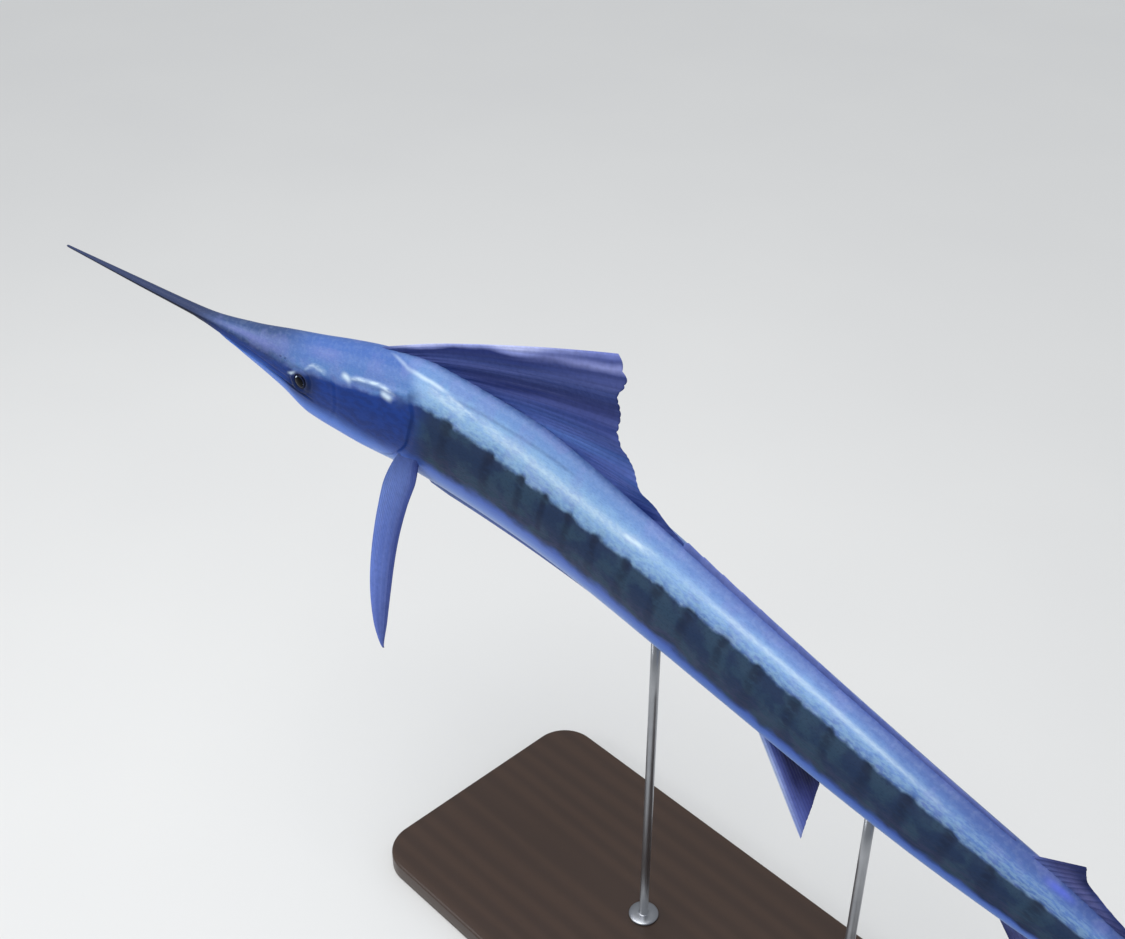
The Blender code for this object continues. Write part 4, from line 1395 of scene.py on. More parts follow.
def start_material(name: str, gloss: Gloss) -> tuple[Material, Nodes, Node]:
    """A material with its shader's fixed numbers set.

    Args:
        name: Name of the finish.
        gloss: The fixed numbers.

    Returns:
        The material, its node adder and its shader.
    """
    material = bpy.data.materials.new(name)
    material.use_nodes = True
    nodes, shader = Nodes(material.node_tree), material.node_tree.nodes["Principled BSDF"]
    nodes.fill(shader, Metallic=gloss.metallic, Specular_IOR_Level=gloss.specular, Coat_Weight=gloss.coat,
               Coat_Roughness=gloss.coat_roughness)
    return material, nodes, shader


def raise_surface(nodes: Nodes, shader: Node, height: Socket, strength: float, distance: float) -> None:
    """Feed a height through a bump node to the shader's normal."""
    bump = nodes.fill(nodes.add("ShaderNodeBump"), Strength=strength, Distance=distance, Height=height)
    nodes.fill(shader, Normal=bump.outputs[0])


@dataclass(frozen=True)
class Stroke:
    """A soft line drawn on the skin: its turn in degrees at shares along the fish."""

    turns: tuple
    half_width: float
    strength: float
    fade: float = 0.003
    broken: float = 0.0


class SkinMarks:
    """Lie, place and brush marks of the skin, and masks drawn with them."""

    def __init__(self, nodes: Nodes, effects: Effects) -> None:
        """Read the skin's UV map and place, and lay brush marks lengthwise.

        Args:
            nodes: Adder of nodes to the tree.
            effects: The shared shader groups.
        """
        self.nodes, self.effects = nodes, effects
        self.place = nodes.object_place()
        self.along, self.turn = nodes.lie()
        lengthwise = nodes.spread(self.along, 118.0, self.turn, 30.0)
        self.brush = nodes.noise(lengthwise, 1.0, 2.5)
        self.fine_brush = nodes.noise(lengthwise, 4.2)
        self.speck = nodes.between(nodes.noise(lengthwise, 1.5), 0.40, 0.60)
        self.wobble = nodes.minus(nodes.noise(self.place, 34.0, 4.0), 0.5)
        self.cloud = self.mottle(24.0, 0.38, 0.66)
        self.on_body = self.from_to(0.232, 0.262)

    def mottle(self, scale: float, low: float, high: float) -> Socket:
        """A cloudy mask over the skin."""
        return self.effects.use(
            self.nodes, self.effects.mottle, Place=self.place, Scale=scale, Low=low, High=high).outputs[0]

    def from_to(self, start: float, end: float) -> Socket:
        """A mask that rises from one share along the fish to another."""
        return self.nodes.between(self.along, along_mark(start), along_mark(end))

    def turn_at(self, turns: tuple) -> Socket:
        """A turn in degrees at shares along the fish, as the skin's second UV value."""
        stops = tuple((along_mark(share), degrees / 180) for share, degrees in turns)
        return self.nodes.level(self.along, stops)

    def drawn(self, stroke: Stroke) -> Socket:
        """The mask of a stroke, its centre read from its own row and its length broken by specks.

        Args:
            stroke: The stroke.

        Returns:
            The mask.
        """
        nodes, start, end = self.nodes, stroke.turns[0][0], stroke.turns[-1][0]
        low, high = along_mark(start), along_mark(end)
        stops = tuple(((share - start) / (end - start), degrees / 180) for share, degrees in stroke.turns)
        centre = nodes.level(nodes.remap(self.along, low, high), stops, Blend.THROUGH)
        mask = self.effects.use(
            nodes, self.effects.stroke, Along=self.along, Turn=self.turn, Centre=centre,
            Half_Wide=stroke.half_width / 180, Start=low, End=high, Fade=stroke.fade).outputs[0]
        whole = nodes.remap(self.speck, 0.0, 1.0, 1.0 - stroke.broken, 1.0)
        return nodes.times(mask, whole, stroke.strength)

    def painted(self, colour: Socket, tone: Colour, *painted_highlights: Stroke) -> Socket:
        """A colour with strokes of one tone laid over it."""
        for stroke in painted_highlights:
            colour = self.nodes.mix(self.drawn(stroke), colour, tone)
        return colour


@dataclass(frozen=True)
class SkinFinish:
    """Steel-blue back with a pale band, dark barred flank with a scalloped edge, silver-blue belly."""

    effects: Effects
    head: Stops = tones(
        (0.00, 72, 100, 160), (0.30, 78, 110, 178), (0.62, 84, 120, 186), (0.88, 92, 132, 190),
        (1.00, 62, 92, 156))
    snout: Stops = tones(
        (0.00, 58, 74, 112), (0.36, 62, 82, 126), (0.56, 92, 112, 164), (0.72, 88, 108, 162),
        (0.88, 60, 80, 128), (1.00, 42, 58, 100))
    band: Stops = tones(
        (0.00, 68, 92, 144), (0.10, 82, 110, 166), (0.26, 104, 138, 194), (0.44, 112, 148, 202),
        (0.56, 128, 167, 214), (0.72, 144, 182, 224), (0.90, 126, 164, 210), (1.00, 90, 126, 176))
    rear: Stops = tones(
        (0.00, 84, 102, 170), (0.16, 82, 104, 164), (0.40, 98, 128, 190), (0.54, 124, 158, 212),
        (0.66, 144, 180, 226), (0.80, 120, 156, 210), (0.90, 106, 142, 194), (1.00, 76, 106, 160))
    stem: Stops = tones(
        (0.00, 72, 90, 148), (0.40, 74, 96, 156), (0.66, 92, 124, 188), (0.82, 96, 132, 192),
        (1.00, 64, 92, 148))
    dark: Colour = srgb(30, 50, 82)
    dark_green: Colour = srgb(42, 66, 90)
    cheek: Colour = srgb(22, 57, 134)
    cheek_deep: Colour = srgb(20, 50, 120)
    # Dark tone of the flank's bars, also used for the painted shade round the eye and in the mouth's
    # groove.
    bar_and_shade_tone: Colour = srgb(12, 24, 50)
    mauve: Colour = srgb(70, 66, 104)
    lavender: Colour = srgb(128, 134, 198)
    sea_green: Colour = srgb(170, 208, 214)
    belly: Stops = tones(
        (0.55, 54, 84, 164), (0.64, 74, 106, 192), (0.72, 108, 142, 220), (0.80, 146, 174, 228),
        (1.00, 176, 192, 220))
    throat: Colour = srgb(86, 132, 226)
    bill_top: Colour = srgb(52, 62, 94)
    bill_low: Colour = srgb(18, 24, 44)
    pale: Colour = srgb(214, 234, 248)
    shade: Colour = srgb(56, 80, 128)
    edge_turns: tuple = (
        (-0.160, 80), (0.000, 80), (0.050, 80), (0.090, 80), (0.115, 78), (0.135, 72), (0.157, 68),
        (0.188, 69), (0.210, 65), (0.242, 60), (0.273, 60), (0.326, 65), (0.380, 67.5), (0.463, 64),
        (0.552, 57), (0.591, 57), (0.630, 55), (0.703, 59), (0.739, 57), (0.775, 63), (0.816, 60),
        (0.980, 64),
    )
    belly_turns: tuple = (
        (-0.160, 175), (-0.010, 130), (0.040, 106), (0.090, 104), (0.125, 116), (0.150, 112),
        (0.175, 114), (0.205, 120), (0.250, 112), (0.330, 109), (0.600, 111), (0.780, 110), (0.980, 118),
    )
    shoulder_turns: tuple = ((0.196, 0), (0.212, 14), (0.222, 24), (0.233, 48), (0.241, 75), (0.245, 180))
    bar_shares: tuple = (
        0.235, 0.274, 0.320, 0.352, 0.376, 0.400, 0.428, 0.460, 0.493, 0.522, 0.556, 0.588, 0.624, 0.655,
        0.690, 0.722, 0.756, 0.790, 0.824, 0.860, 0.900,
    )
    # Painted highlights: glints before the eye, on the brow and along the gill cover's top edge, and
    # streaks of sheen over the shoulder and along the pale band.
    painted_highlights: tuple = (
        Stroke(((0.1085, 86.5), (0.1145, 82.0), (0.1210, 75.0)), 5.0, 0.62, 0.0045),
        Stroke(((0.1265, 68.0), (0.1325, 60.5), (0.1390, 58.5), (0.1530, 63.0)), 6.5, 0.50, 0.0060, 0.55),
        Stroke(((0.1640, 57.0), (0.1720, 59.0), (0.1790, 62.5)), 7.5, 0.90, 0.0060),
        Stroke(((0.1700, 60.0), (0.1810, 57.2), (0.1900, 55.8), (0.2030, 55.4), (0.2110, 56.8),
                (0.2240, 60.5)), 4.4, 0.80, 0.0110, 0.45),
        Stroke(((0.2050, 61.0), (0.2130, 63.4), (0.2220, 65.5)), 6.5, 0.85, 0.0060, 0.1),
        Stroke(((0.1980, 7.0), (0.2200, 24.5), (0.2340, 30.5), (0.2480, 32.2)), 6.5, 0.34, 0.0150),
        Stroke(((0.2250, 28.5), (0.2380, 31.5), (0.2500, 32.6), (0.2700, 34.4)), 5.4, 0.78, 0.0140, 0.1),
        Stroke(((0.2420, 39.0), (0.2640, 43.0), (0.2920, 46.0)), 10.0, 0.42, 0.0120, 0.45),
        Stroke(((0.2600, 36.0), (0.2850, 40.5), (0.3000, 42.0)), 4.6, 0.50, 0.0100, 0.5),
        Stroke(((0.2900, 42.0), (0.3200, 46.0), (0.3600, 48.5), (0.4000, 48.5), (0.4500, 44.5),
                (0.4900, 39.5)), 10.0, 0.42, 0.0200, 0.40),
        Stroke(((0.4440, 44.2), (0.4560, 43.5), (0.4700, 42.0)), 5.2, 0.85, 0.0080, 0.1),
        Stroke(((0.4700, 40.0), (0.5500, 37.5), (0.6200, 35.5), (0.6800, 37.0), (0.7300, 40.0),
                (0.7800, 44.0)), 8.0, 0.46, 0.0900, 0.30),
    )
    thin_line: Stroke = Stroke(
        ((0.2620, 38.0), (0.2900, 35.5), (0.3400, 34.0), (0.4000, 31.0)), 4.6, 0.42, 0.0200, 0.3)
    gill_shadow: Stroke = Stroke(((0.2180, 66.0), (0.2320, 60.0), (0.2460, 51.0)), 12.0, 0.55, 0.0090, 0.2)
    nape_patch: Stroke = Stroke(((0.1150, 36.0), (0.1450, 40.0), (0.1730, 46.0)), 22.0, 0.40, 0.0220, 0.2)
    # Painted sheen: a pale lavender stripe along the side of the snout.
    snout_sheen: Stroke = Stroke(((0.0200, 56.0), (0.0600, 54.0), (0.1100, 60.0)), 20.0, 0.45, 0.0260, 0.2)
    eye_shadow: Stroke = Stroke(((0.1040, 96.0), (0.1230, 90.0), (0.1500, 80.0)), 38.0, 0.80, 0.0150)
    # Painted shade along the groove of the mouth.
    mouth_groove_shadow: Stroke = Stroke(
        ((0.0150, 146.3), (0.0300, 125.2), (0.0600, 109.8), (0.0980, 106.9), (0.1300, 102.2),
         (0.1420, 104.1)), 3.4, 0.80, 0.0060)
    violet: Colour = srgb(96, 112, 224)
    violet_spot: Stroke = Stroke(((0.8120, 25.0), (0.8280, 22.0), (0.8440, 22.0)), 19.0, 0.65, 0.0130)
    gloss: Gloss = Gloss(specular=0.10, coat_roughness=0.13)

    def upper_side(self, marks: SkinMarks, edge: Socket) -> Socket:
        """Colours above the dark flank: snout, head, pale band and rear, each by its height in the band.

        Args:
            marks: The skin's lie and brush marks.
            edge: Turn of the flank's upper edge.

        Returns:
            The colour.
        """
        nodes = marks.nodes
        height = nodes.scaled(nodes.minus(marks.brush, 0.5), 0.20, nodes.math("DIVIDE", marks.turn, edge))
        head, snout = nodes.row(height, self.head), nodes.row(height, self.snout)
        rows = (self.band, self.rear, self.stem)
        band, rear, stem = (nodes.row(height, row, Blend.ROUNDED) for row in rows)
        head = nodes.mix(marks.from_to(0.135, 0.080), head, snout)
        body = nodes.mix(marks.from_to(0.40, 0.56), band, rear)
        body = nodes.mix(marks.from_to(0.62, 0.80), body, stem)
        shares = tuple((degrees / 180, along_mark(share)) for share, degrees in self.shoulder_turns)
        shoulder = nodes.minus(marks.along, nodes.level(marks.turn, shares, Blend.STRAIGHT))
        return nodes.mix(nodes.between(shoulder, -0.004, 0.012), head, body)

    def upper(self, marks: SkinMarks, edge: Socket) -> Socket:
        """The upper side with soft patches, painted snout sheen, a green tinge low in the band and fine
        brush marks.

        Args:
            marks: The skin's lie and brush marks.
            edge: Turn of the flank's upper edge.

        Returns:
            The colour.
        """
        nodes = marks.nodes
        colour = self.upper_side(marks, edge)
        # A lavender patch on the nape, and painted sheen along the snout's side.
        colour = marks.painted(colour, self.lavender, self.nape_patch, self.snout_sheen)
        colour = marks.painted(colour, self.shade, self.thin_line)
        height = nodes.math("DIVIDE", marks.turn, edge)
        greenish = nodes.times(nodes.between(height, 0.45, 0.8), marks.speck)
        return nodes.tinted(
            colour,
            (nodes.between(marks.cloud, 0.5, 1.0), 0.22, self.lavender),
            (nodes.times(greenish, marks.on_body), 0.24, self.sea_green),
            (nodes.between(marks.fine_brush, 0.55, 0.30), 0.16, self.shade),
            (nodes.between(marks.mottle(170.0, 0.35, 0.7), 0.2, 0.9), 0.035, self.pale),
        )

    def flank(self, marks: SkinMarks, bars: Socket, past: Socket) -> Socket:
        """The dark flank, mauve low down and barred near its edge, behind the blue cheek.

        Args:
            marks: The skin's lie and brush marks.
            bars: Mask of the bars.
            past: How far below the flank's upper edge.

        Returns:
            The colour.
        """
        nodes = marks.nodes
        brush = marks.brush
        low_part = nodes.times(nodes.between(marks.turn, 0.46, 0.60), nodes.between(brush, 0.42, 0.60))
        falling = nodes.times(nodes.remap(past, 0.0, 0.26, 0.74, 0.20), nodes.between(brush, 0.25, 0.55))
        flank = nodes.tinted(
            nodes.mix(nodes.between(marks.cloud, 0.1, 0.9), self.dark, self.dark_green),
            (low_part, 0.30, self.mauve),
            (nodes.between(marks.fine_brush, 0.52, 0.30), 0.30, self.bar_and_shade_tone),
            (bars, falling, self.bar_and_shade_tone),
        )
        cheek = nodes.mix(nodes.between(brush, 0.40, 0.62), self.cheek, self.cheek_deep)
        return nodes.mix(marks.on_body, cheek, flank)

    def under_side(self, marks: SkinMarks) -> Socket:
        """The belly's colours down the section, and the bluer throat.

        Args:
            marks: The skin's lie and brush marks.

        Returns:
            The colour.
        """
        nodes = marks.nodes
        belly = nodes.row(nodes.scaled(nodes.minus(marks.fine_brush, 0.5), 0.05, marks.turn), self.belly)
        throat = nodes.times(marks.from_to(0.225, 0.190), nodes.between(marks.turn, 0.95, 0.80))
        return nodes.mix(throat, belly, self.throat)

    def bars(self, marks: SkinMarks) -> Socket:
        """Narrow bars at their shares: a count that rises by one from bar to bar, near a whole number.

        Args:
            marks: The skin's lie and brush marks.

        Returns:
            The mask.
        """
        nodes, last = marks.nodes, len(self.bar_shares) - 1
        stops = tuple((along_mark(share), index / last) for index, share in enumerate(self.bar_shares))
        count = nodes.times(nodes.level(marks.along, stops, Blend.STRAIGHT), float(last))
        phase = nodes.math("FRACT", nodes.scaled(marks.wobble, 0.30, count))
        return nodes.times(nodes.between(nodes.apart(phase, 0.5), 0.28, 0.47), marks.on_body)

    def colour(self, marks: SkinMarks) -> Socket:
        """Upper side, flank and belly between wavering edges, with painted shade lines and painted glints
        over them.

        Args:
            marks: The skin's lie and brush marks.

        Returns:
            The colour.
        """
        nodes, bars = marks.nodes, self.bars(marks)
        ragged = nodes.minus(nodes.noise(marks.place, 110.0), 0.5)
        edge = nodes.scaled(marks.wobble, 0.050, marks.turn_at(self.edge_turns))
        edge = nodes.scaled(ragged, 0.018, nodes.scaled(bars, -0.013, edge))
        low_wobble = nodes.remap(marks.on_body, 0.0, 1.0, 0.04, 0.11)
        low_edge = nodes.scaled(marks.wobble, low_wobble, marks.turn_at(self.belly_turns))
        past, past_low = nodes.minus(marks.turn, edge), nodes.minus(marks.turn, low_edge)
        low = nodes.mix(marks.on_body, nodes.between(past_low, -0.06, 0.09),
                        nodes.between(past_low, -0.025, 0.055))
        below = nodes.mix(marks.from_to(0.080, 0.135), nodes.between(past, -0.050, 0.060),
                          nodes.between(past, -0.014, 0.016))
        colour = nodes.mix(below, self.upper(marks, edge), self.flank(marks, bars, past))
        colour = nodes.mix(low, colour, self.under_side(marks))
        # Painted shade: behind the gill cover, round the eye and in the mouth's groove.
        colour = marks.painted(colour, self.shade, self.gill_shadow)
        colour = marks.painted(colour, self.bar_and_shade_tone, self.eye_shadow, self.mouth_groove_shadow)
        bill = nodes.mix(nodes.between(marks.turn, 0.36, 0.48), self.bill_top, self.bill_low)
        colour = nodes.mix(marks.from_to(0.045, -0.010), colour, bill)
        # Lay the painted highlights, pale glints and streaks of sheen, over all.
        colour = marks.painted(colour, self.pale, *self.painted_highlights)
        return marks.painted(colour, self.violet, self.violet_spot)

    def material(self) -> Material:
        """The finish as a material that reads the skin's own lie and its place.

        Returns:
            The material.
        """
        material, nodes, shader = start_material("sailfish_skin", self.gloss)
        marks = SkinMarks(nodes, self.effects)
        wet = nodes.times(nodes.between(marks.turn, 0.05, 0.16), nodes.between(marks.turn, 0.44, 0.34),
                          marks.from_to(0.10, 0.26))
        nodes.fill(shader, Base_Color=self.colour(marks), Coat_Weight=nodes.scaled(wet, 0.26, 0.04),
                   Roughness=nodes.remap(marks.fine_brush, 0.3, 0.7, 0.28, 0.46))
        scales = self.effects.use(nodes, self.effects.scales, Place=marks.place, Fineness=420.0).outputs[0]
        muscle = nodes.scaled(marks.fine_brush, 0.2, marks.brush)
        raise_surface(nodes, shader, nodes.math("ADD", scales, muscle), 0.22, 0.0010)
        return material


@dataclass(frozen=True)
class EyeFinish:
    """A wet dark eye: black pupil, thin pale ring and navy iris."""

    rings: Stops = tones(
        (0.00, 2, 3, 7), (0.160, 3, 4, 9), (0.172, 44, 56, 92), (0.186, 12, 18, 40), (0.250, 8, 12, 30),
        (0.330, 20, 30, 60), (1.00, 24, 30, 48))
    # Tone of the painted glint.
    glint: Colour = srgb(220, 234, 246)
    glint_way: float = 0.385
    gloss: Gloss = Gloss(specular=0.08)

    def material(self) -> Material:
        """Rings by the angle from the front, flecked by place, with a painted glint of the sky at one side.

        Returns:
            The material.
        """
        material, nodes, shader = start_material("wet_eye", self.gloss)
        around, angle = nodes.lie()
        fleck = nodes.noise(nodes.object_place(), 900.0, 3.0)
        reach = nodes.scaled(nodes.minus(fleck, 0.5), 0.012, angle)
        off_way = nodes.math("DIVIDE", nodes.minus(around, self.glint_way), 0.055)
        off_reach = nodes.math("DIVIDE", nodes.minus(angle, 0.165), 0.022)
        off = nodes.math("ADD", *(nodes.math("POWER", nodes.math("ABSOLUTE", part), 2.0)
                                  for part in (off_way, off_reach)))
        colour = nodes.mix(nodes.between(off, 1.0, 0.3), nodes.row(reach, self.rings), self.glint)
        nodes.fill(shader, Base_Color=colour, Roughness=nodes.remap(fleck, 0.0, 1.0, 0.10, 0.20))
        return material


@dataclass(frozen=True)
class FinFinish:
    """A membrane with rays: rows of colours at its root, middle and edge, and streaks along the rays."""

    effects: Effects
    name: str
    rays: float
    root: Stops
    middle: Stops
    edge: Stops
    streak: Colour
    streak_share: float
    ray_tone: Colour
    ray_mix: float = 0.30
    root_reach: float = 0.50
    gloss: Gloss = Gloss(specular=0.12, coat=0.04)

    def material(self) -> Material:
        """The finish as a material that reads the fin's own lie and its place.

        Returns:
            The material.
        """
        material, nodes, shader = start_material(self.name, self.gloss)
        across, step = nodes.lie()
        rays = self.effects.use(nodes, self.effects.rays, Across=across, Step=step, Rays=self.rays)
        stray = nodes.minus(nodes.noise(nodes.object_place(), 9.0, 3.0), 0.5)
        along_row = nodes.scaled(stray, 0.05, across)
        root, middle, edge = (nodes.row(along_row, row) for row in (self.root, self.middle, self.edge))
        inner = nodes.mix(nodes.between(step, 0.02, self.root_reach), root, middle)
        base = nodes.mix(nodes.between(step, 0.50, 0.95), inner, edge)
        fine = self.effects.use(
            nodes, self.effects.mottle, Place=nodes.object_place(), Scale=160.0, Low=0.3,
            High=0.8).outputs[0]
        colour = nodes.tinted(base, (rays.outputs[1], self.streak_share, self.streak),
                              (rays.outputs[0], self.ray_mix, self.ray_tone), (fine, 0.16, (0.0, 0.0, 0.0)))
        nodes.fill(shader, Base_Color=colour, Roughness=nodes.remap(fine, 0.0, 1.0, 0.36, 0.54))
        raise_surface(nodes, shader, rays.outputs[2], 0.30, 0.0012)
        return material


@dataclass(frozen=True)
class WoodFinish:
    """Dark oiled wood with long grain."""

    light: Colour = srgb(76, 55, 42)
    dark: Colour = srgb(54, 38, 29)
    gloss: Gloss = Gloss(specular=0.4, coat=0.2, coat_roughness=0.25)

    def material(self) -> Material:
        """Grain from noise stretched along the board.

        Returns:
            The material.
        """
        material, nodes, shader = start_material("oiled_wood", self.gloss)
        place = nodes.object_place()
        bend = nodes.noise(nodes.stretched(place, (0.8, 3.0, 3.0)), 4.0, 2.0)
        rings = nodes.add("ShaderNodeTexWave", nodes.stretched(place, (0.25, 3.2, 3.2)), wave_type="RINGS",
                          rings_direction="X")
        nodes.fill(rings, Scale=3.0, Distortion=5.0, Detail=3.0)
        pores = nodes.noise(nodes.stretched(place, (8.0, 160.0, 160.0)), 5.0, 3.0)
        grain = nodes.scaled(bend, 0.5, nodes.times(rings.outputs[1], 0.5))
        colour = nodes.tinted(self.dark, (nodes.between(grain, 0.1, 0.9), 0.38, self.light),
                              (nodes.between(pores, 0.45, 0.30), 0.6, self.dark))
        nodes.fill(shader, Base_Color=colour, Roughness=nodes.remap(pores, 0.0, 1.0, 0.52, 0.34))
        raise_surface(nodes, shader, pores, 0.25, 0.0006)
        return material


@dataclass(frozen=True)
class SteelFinish:
    """Satin steel, drawn lengthwise."""

    tone: Colour = srgb(176, 178, 182)
    worn: Colour = srgb(142, 145, 150)
    gloss: Gloss = Gloss(metallic=1.0)

    def material(self) -> Material:
        """Fine lines up the rod with soft clouds.

        Returns:
            The material.
        """
        material, nodes, shader = start_material("satin_steel", self.gloss)
        place = nodes.object_place()
        lines = nodes.noise(nodes.stretched(place, (420.0, 420.0, 6.0)), 2.0, 2.0)
        cloud = nodes.noise(place, 22.0, 3.0)
        nodes.fill(shader, Base_Color=nodes.mix(cloud, self.tone, self.worn),
                   Roughness=nodes.remap(lines, 0.0, 1.0, 0.24, 0.42))
        raise_surface(nodes, shader, lines, 0.12, 0.0004)
        return material


@dataclass(frozen=True)
class FloorFinish:
    """Pale matt studio paper."""

    tone: Colour = srgb(226, 226, 224)
    shade: Colour = srgb(220, 220, 219)

    def material(self) -> Material:
        """An almost even tone with a faint cloud.

        Returns:
            The material.
        """
        material, nodes, shader = start_material("studio_paper", Gloss(specular=0.2))
        cloud = nodes.noise(nodes.object_place(), 1.4, 2.0)
        nodes.fill(shader, Base_Color=nodes.mix(cloud, self.tone, self.shade),
                   Roughness=nodes.remap(cloud, 0.0, 1.0, 0.85, 0.95))
        return material


@dataclass(frozen=True)
class Studio:
    """Floor, soft lights and the camera at the photograph's angle."""

    position: tuple = (0.9438, -1.1873, 1.9822)
    azimuth: float = math.radians(46.3)
    elevation: float = math.radians(34.4)
    lens: float = 47.98
    sensor: float = 36.0
    floor_radius: float = 14.0
    floor_sides: int = 64
    world: Colour = (0.90, 0.94, 1.0)
    world_strength: float = 0.42
    sun_strength: float = 1.3
    sun_spread: float = math.radians(50)
    sun_tilt: tuple = (math.radians(14), math.radians(-10), 0.0)
    lights: tuple = (
        ("overhead", (-0.45, -0.50, 2.9), (-0.1, 0.0, 0.7), (2.8, 2.0), 34.0),
        ("front_left", (-1.9, -2.6, 1.7), (-0.3, 0.0, 0.7), (1.9, 0.8), 14.0),
    )

    def camera(self) -> Piece:
        """The camera, with no roll or shift.

        Returns:
            The camera.
        """
        az, el = self.azimuth, self.elevation
        back = Vector((math.sin(az) * math.cos(el), -math.cos(az) * math.cos(el), math.sin(el)))
        right = Vector((math.cos(az), math.sin(az), 0.0))
        data = bpy.data.cameras.new("camera")
        data.lens, data.sensor_width, data.sensor_fit = self.lens, self.sensor, "HORIZONTAL"
        data.clip_end = 60.0
        camera = link_object("camera", data)
        turn = Matrix((right, back.cross(right), back)).transposed()
        camera.matrix_world = Matrix.Translation(self.position) @ turn.to_4x4()
        bpy.context.scene.camera = camera
        return camera

    def light_up(self) -> None:
        """Large soft lights round the fish and a pale sky."""
        for name, spot, target, size, power in self.lights:
            data = bpy.data.lights.new(name, "AREA")
            data.shape, data.size, data.size_y, data.energy = "RECTANGLE", size[0], size[1], power
            light = link_object(name, data)
            light.location = spot
            light.rotation_euler = (Vector(target) - Vector(spot)).to_track_quat("-Z", "Y").to_euler()
        sun = bpy.data.lights.new("sky_glow", "SUN")
        sun.energy, sun.angle = self.sun_strength, self.sun_spread
        link_object("sky_glow", sun).rotation_euler = self.sun_tilt
        bpy.context.scene.view_settings.view_transform = "Standard"
        world = bpy.data.worlds.new("studio")
        world.use_nodes = True
        sky = world.node_tree.nodes["Background"]
        sky.inputs[0].default_value = (*self.world, 1.0)
        sky.inputs[1].default_value = self.world_strength
        bpy.context.scene.world = world

    def floor(self, material: Material) -> Piece:
        """A flat disc of rings round the stand.

        Args:
            material: The piece's finish.

        Returns:
            The floor.
        """
        radius = np.linspace(0.2, self.floor_radius, 24)[:, None]
        turn = circle(self.floor_sides)
        x, y = radius * np.cos(turn), radius * np.sin(turn)
        points = np.concatenate((stack(x, y, 0 * x).reshape(-1, 3), np.zeros((1, 3))))
        grid = np.arange(x.size).reshape(x.shape)
        a, d = grid[:-1], grid[1:]
        quads = np.stack((a, d, np.roll(d, -1, 1), np.roll(a, -1, 1)), -1).reshape(-1, 4)
        middle = np.stack((grid[0], np.roll(grid[0], -1), np.full(self.floor_sides, x.size)), -1)
        mesh = bpy.data.meshes.new("floor")
        mesh.from_pydata(points.tolist(), [], quads.tolist() + middle.tolist())
        mesh.materials.append(material)
        obj = link_object("floor", mesh)
        obj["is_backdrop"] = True
        return obj

    def build(self) -> None:
        """Camera, lights and floor."""
        self.camera()
        self.light_up()
        self.floor(FloorFinish().material())


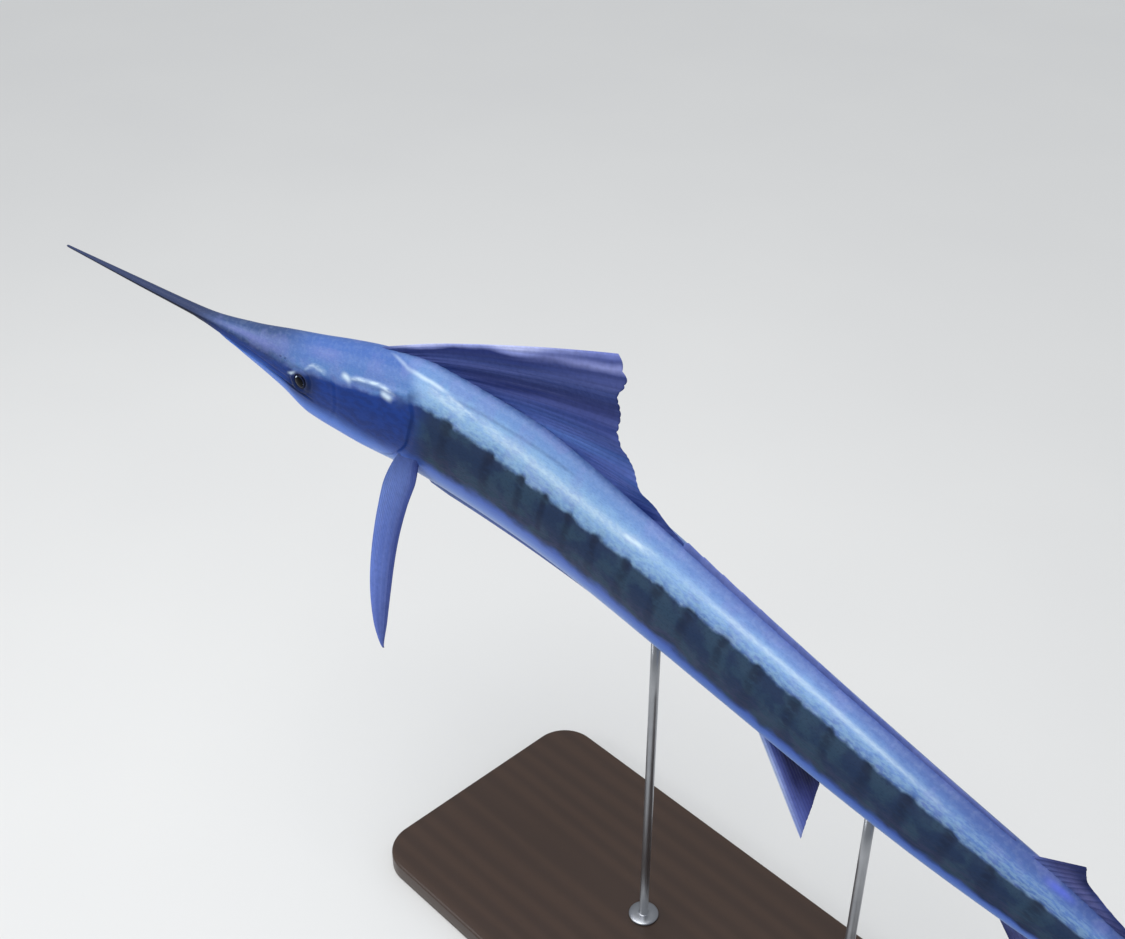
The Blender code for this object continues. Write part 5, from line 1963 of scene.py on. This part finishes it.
def fin_finishes(effects: Effects) -> dict[str, FinFinish]:
    """The finishes of the fins, by the fin they are for.

    Args:
        effects: The shared shader groups.

    Returns:
        A finish by fin.
    """
    return {
        "sail": FinFinish(
            effects, "sail_web_skin", 30.0,
            tones(
                (0.0, 70, 88, 152), (0.020, 50, 68, 130), (0.045, 26, 40, 98), (0.14, 28, 46, 108),
                (0.34, 30, 52, 114), (0.60, 26, 46, 108), (0.88, 20, 38, 100), (1.0, 28, 46, 108)),
            # Middle and edge rows: the wide dark and pale bands across the rays are painted shade and light
            # of the sail's folds.
            tones(
                (0.0, 196, 204, 248), (0.014, 144, 156, 220), (0.030, 30, 44, 106), (0.11, 50, 68, 132),
                (0.20, 26, 40, 98), (0.26, 28, 42, 102), (0.33, 48, 70, 136), (0.42, 66, 92, 164),
                (0.49, 82, 114, 186), (0.58, 56, 78, 146), (0.70, 66, 90, 160), (0.84, 28, 46, 110),
                (1.0, 44, 64, 126)),
            tones(
                (0.0, 112, 124, 190), (0.014, 64, 76, 136), (0.030, 142, 150, 206), (0.046, 54, 66, 124),
                (0.12, 62, 78, 144), (0.17, 42, 58, 122), (0.24, 20, 32, 88), (0.32, 38, 56, 120),
                (0.42, 56, 82, 154), (0.50, 68, 98, 170), (0.65, 54, 80, 148), (0.85, 36, 58, 122),
                (1.0, 48, 70, 134)),
            srgb(96, 108, 178), 0.42, srgb(26, 38, 94), 0.24, 0.16),
        "folded": FinFinish(
            effects, "folded_sail_skin", 30.0,
            tones((0.0, 96, 112, 178), (1.0, 84, 100, 162)),
            tones((0.0, 116, 132, 200), (1.0, 92, 108, 170)),
            tones((0.0, 104, 120, 188), (1.0, 74, 90, 150)),
            srgb(126, 138, 200), 0.30, srgb(70, 84, 142), 0.15),
        "dorsal": FinFinish(
            effects, "second_dorsal_skin", 12.0,
            tones((0.0, 88, 102, 162), (0.4, 92, 106, 164), (1.0, 66, 78, 130)),
            tones((0.0, 52, 58, 108), (0.35, 86, 90, 144), (0.65, 94, 98, 152), (1.0, 46, 54, 102)),
            tones((0.0, 20, 32, 82), (0.35, 18, 30, 80), (0.65, 50, 64, 124), (1.0, 18, 32, 80)),
            srgb(84, 94, 154), 0.20, srgb(24, 36, 88)),
        "anal": FinFinish(
            effects, "anal_skin", 14.0,
            tones(
                (0.0, 196, 212, 248), (0.08, 136, 160, 228), (0.17, 40, 58, 130), (0.40, 8, 16, 54),
                (1.0, 6, 12, 46)),
            tones(
                (0.0, 206, 220, 250), (0.10, 140, 158, 226), (0.20, 78, 90, 160), (0.38, 22, 30, 84),
                (0.7, 10, 18, 60), (1.0, 10, 18, 60)),
            tones(
                (0.0, 160, 178, 238), (0.18, 96, 112, 190), (0.45, 62, 72, 144), (0.70, 34, 42, 104),
                (1.0, 22, 32, 86)),
            srgb(62, 72, 142), 0.12, srgb(16, 24, 72), 0.22),
        "pectoral": FinFinish(
            effects, "pectoral_skin", 17.0,
            tones((0.0, 130, 154, 214), (0.20, 114, 138, 200), (0.7, 100, 122, 184), (1.0, 62, 78, 144)),
            tones(
                (0.0, 112, 136, 208), (0.22, 92, 114, 184), (0.62, 82, 102, 168), (0.8, 60, 76, 138),
                (1.0, 50, 64, 124)),
            tones((0.0, 92, 112, 186), (0.25, 74, 92, 158), (0.6, 64, 80, 142), (1.0, 44, 56, 112)),
            srgb(120, 134, 192), 0.22, srgb(60, 76, 138), 0.18),
        "tail": FinFinish(
            effects, "tail_skin", 17.0,
            tones((0.0, 56, 68, 106), (0.5, 46, 58, 94), (1.0, 40, 50, 84)),
            tones((0.0, 42, 50, 86), (0.5, 38, 48, 84), (1.0, 42, 52, 88)),
            tones((0.0, 28, 34, 66), (0.5, 32, 40, 76), (1.0, 42, 50, 88)),
            srgb(66, 78, 122), 0.25, srgb(28, 36, 72)),
    }


def main() -> None:
    """Build every piece in order and report it."""
    logging.basicConfig(level=logging.INFO, format="%(message)s")
    effects = Effects()
    shape = BodyShape(Pose())
    relief = HeadRelief(shape)
    finishes = {name: finish.material() for name, finish in fin_finishes(effects).items()}
    pieces = [Skin(shape, relief).build(SkinFinish(effects).material())]
    pieces += Eyes(shape, relief).build(EyeFinish().material())
    pieces.append(Sail(shape).build(finishes["sail"]))
    pieces.append(FoldedSail(shape).build(finishes["folded"]))
    middle_fins = (
        MiddleFin(shape, "second_dorsal_fin", Way.BACK, 0.800, 0.862,
                  ((0.0, 0.8325, 0.0552), (0.35, 0.8385, 0.0440), (0.60, 0.8500, 0.0385),
                   (1.0, 0.8920, 0.0270)),
                  RayWeb(rays=12, root=0.0024, scallop=0.010)),
        MiddleFin(shape, "first_anal_fin", Way.BELLY, 0.588, 0.650,
                  ((0.0, 0.6620, -0.1248), (0.4, 0.6595, -0.0950), (1.0, 0.6570, -0.0580)),
                  RayWeb(rays=14, root=0.0026, scallop=0.006)),
        MiddleFin(shape, "second_anal_fin", Way.BELLY, 0.800, 0.852,
                  ((0.0, 0.8310, -0.0600), (0.55, 0.8500, -0.0410), (1.0, 0.8820, -0.0320)),
                  RayWeb(rays=10, root=0.0024, scallop=0.010)),
    )
    for fin, finish in zip(middle_fins, ("dorsal", "anal", "dorsal")):
        pieces.append(fin.build(finishes[finish]))
    pieces.append(TailFin(shape).build(finishes["tail"]))
    pieces += PectoralFins(shape).build(finishes["pectoral"])
    pieces += PelvicFins(shape).build(finishes["pectoral"])
    pieces += Stand(shape).build(WoodFinish().material(), SteelFinish().material())
    for piece in pieces:
        log.info("%s: %d faces", piece.name, len(piece.data.polygons))
    Studio().build()
    boxes = {"cad": CAD_BOX, "visual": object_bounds()}
    {key: [[float(n) for n in corner] for corner in box] for key, box in boxes.items()}


if __name__ == "__main__":
    main()
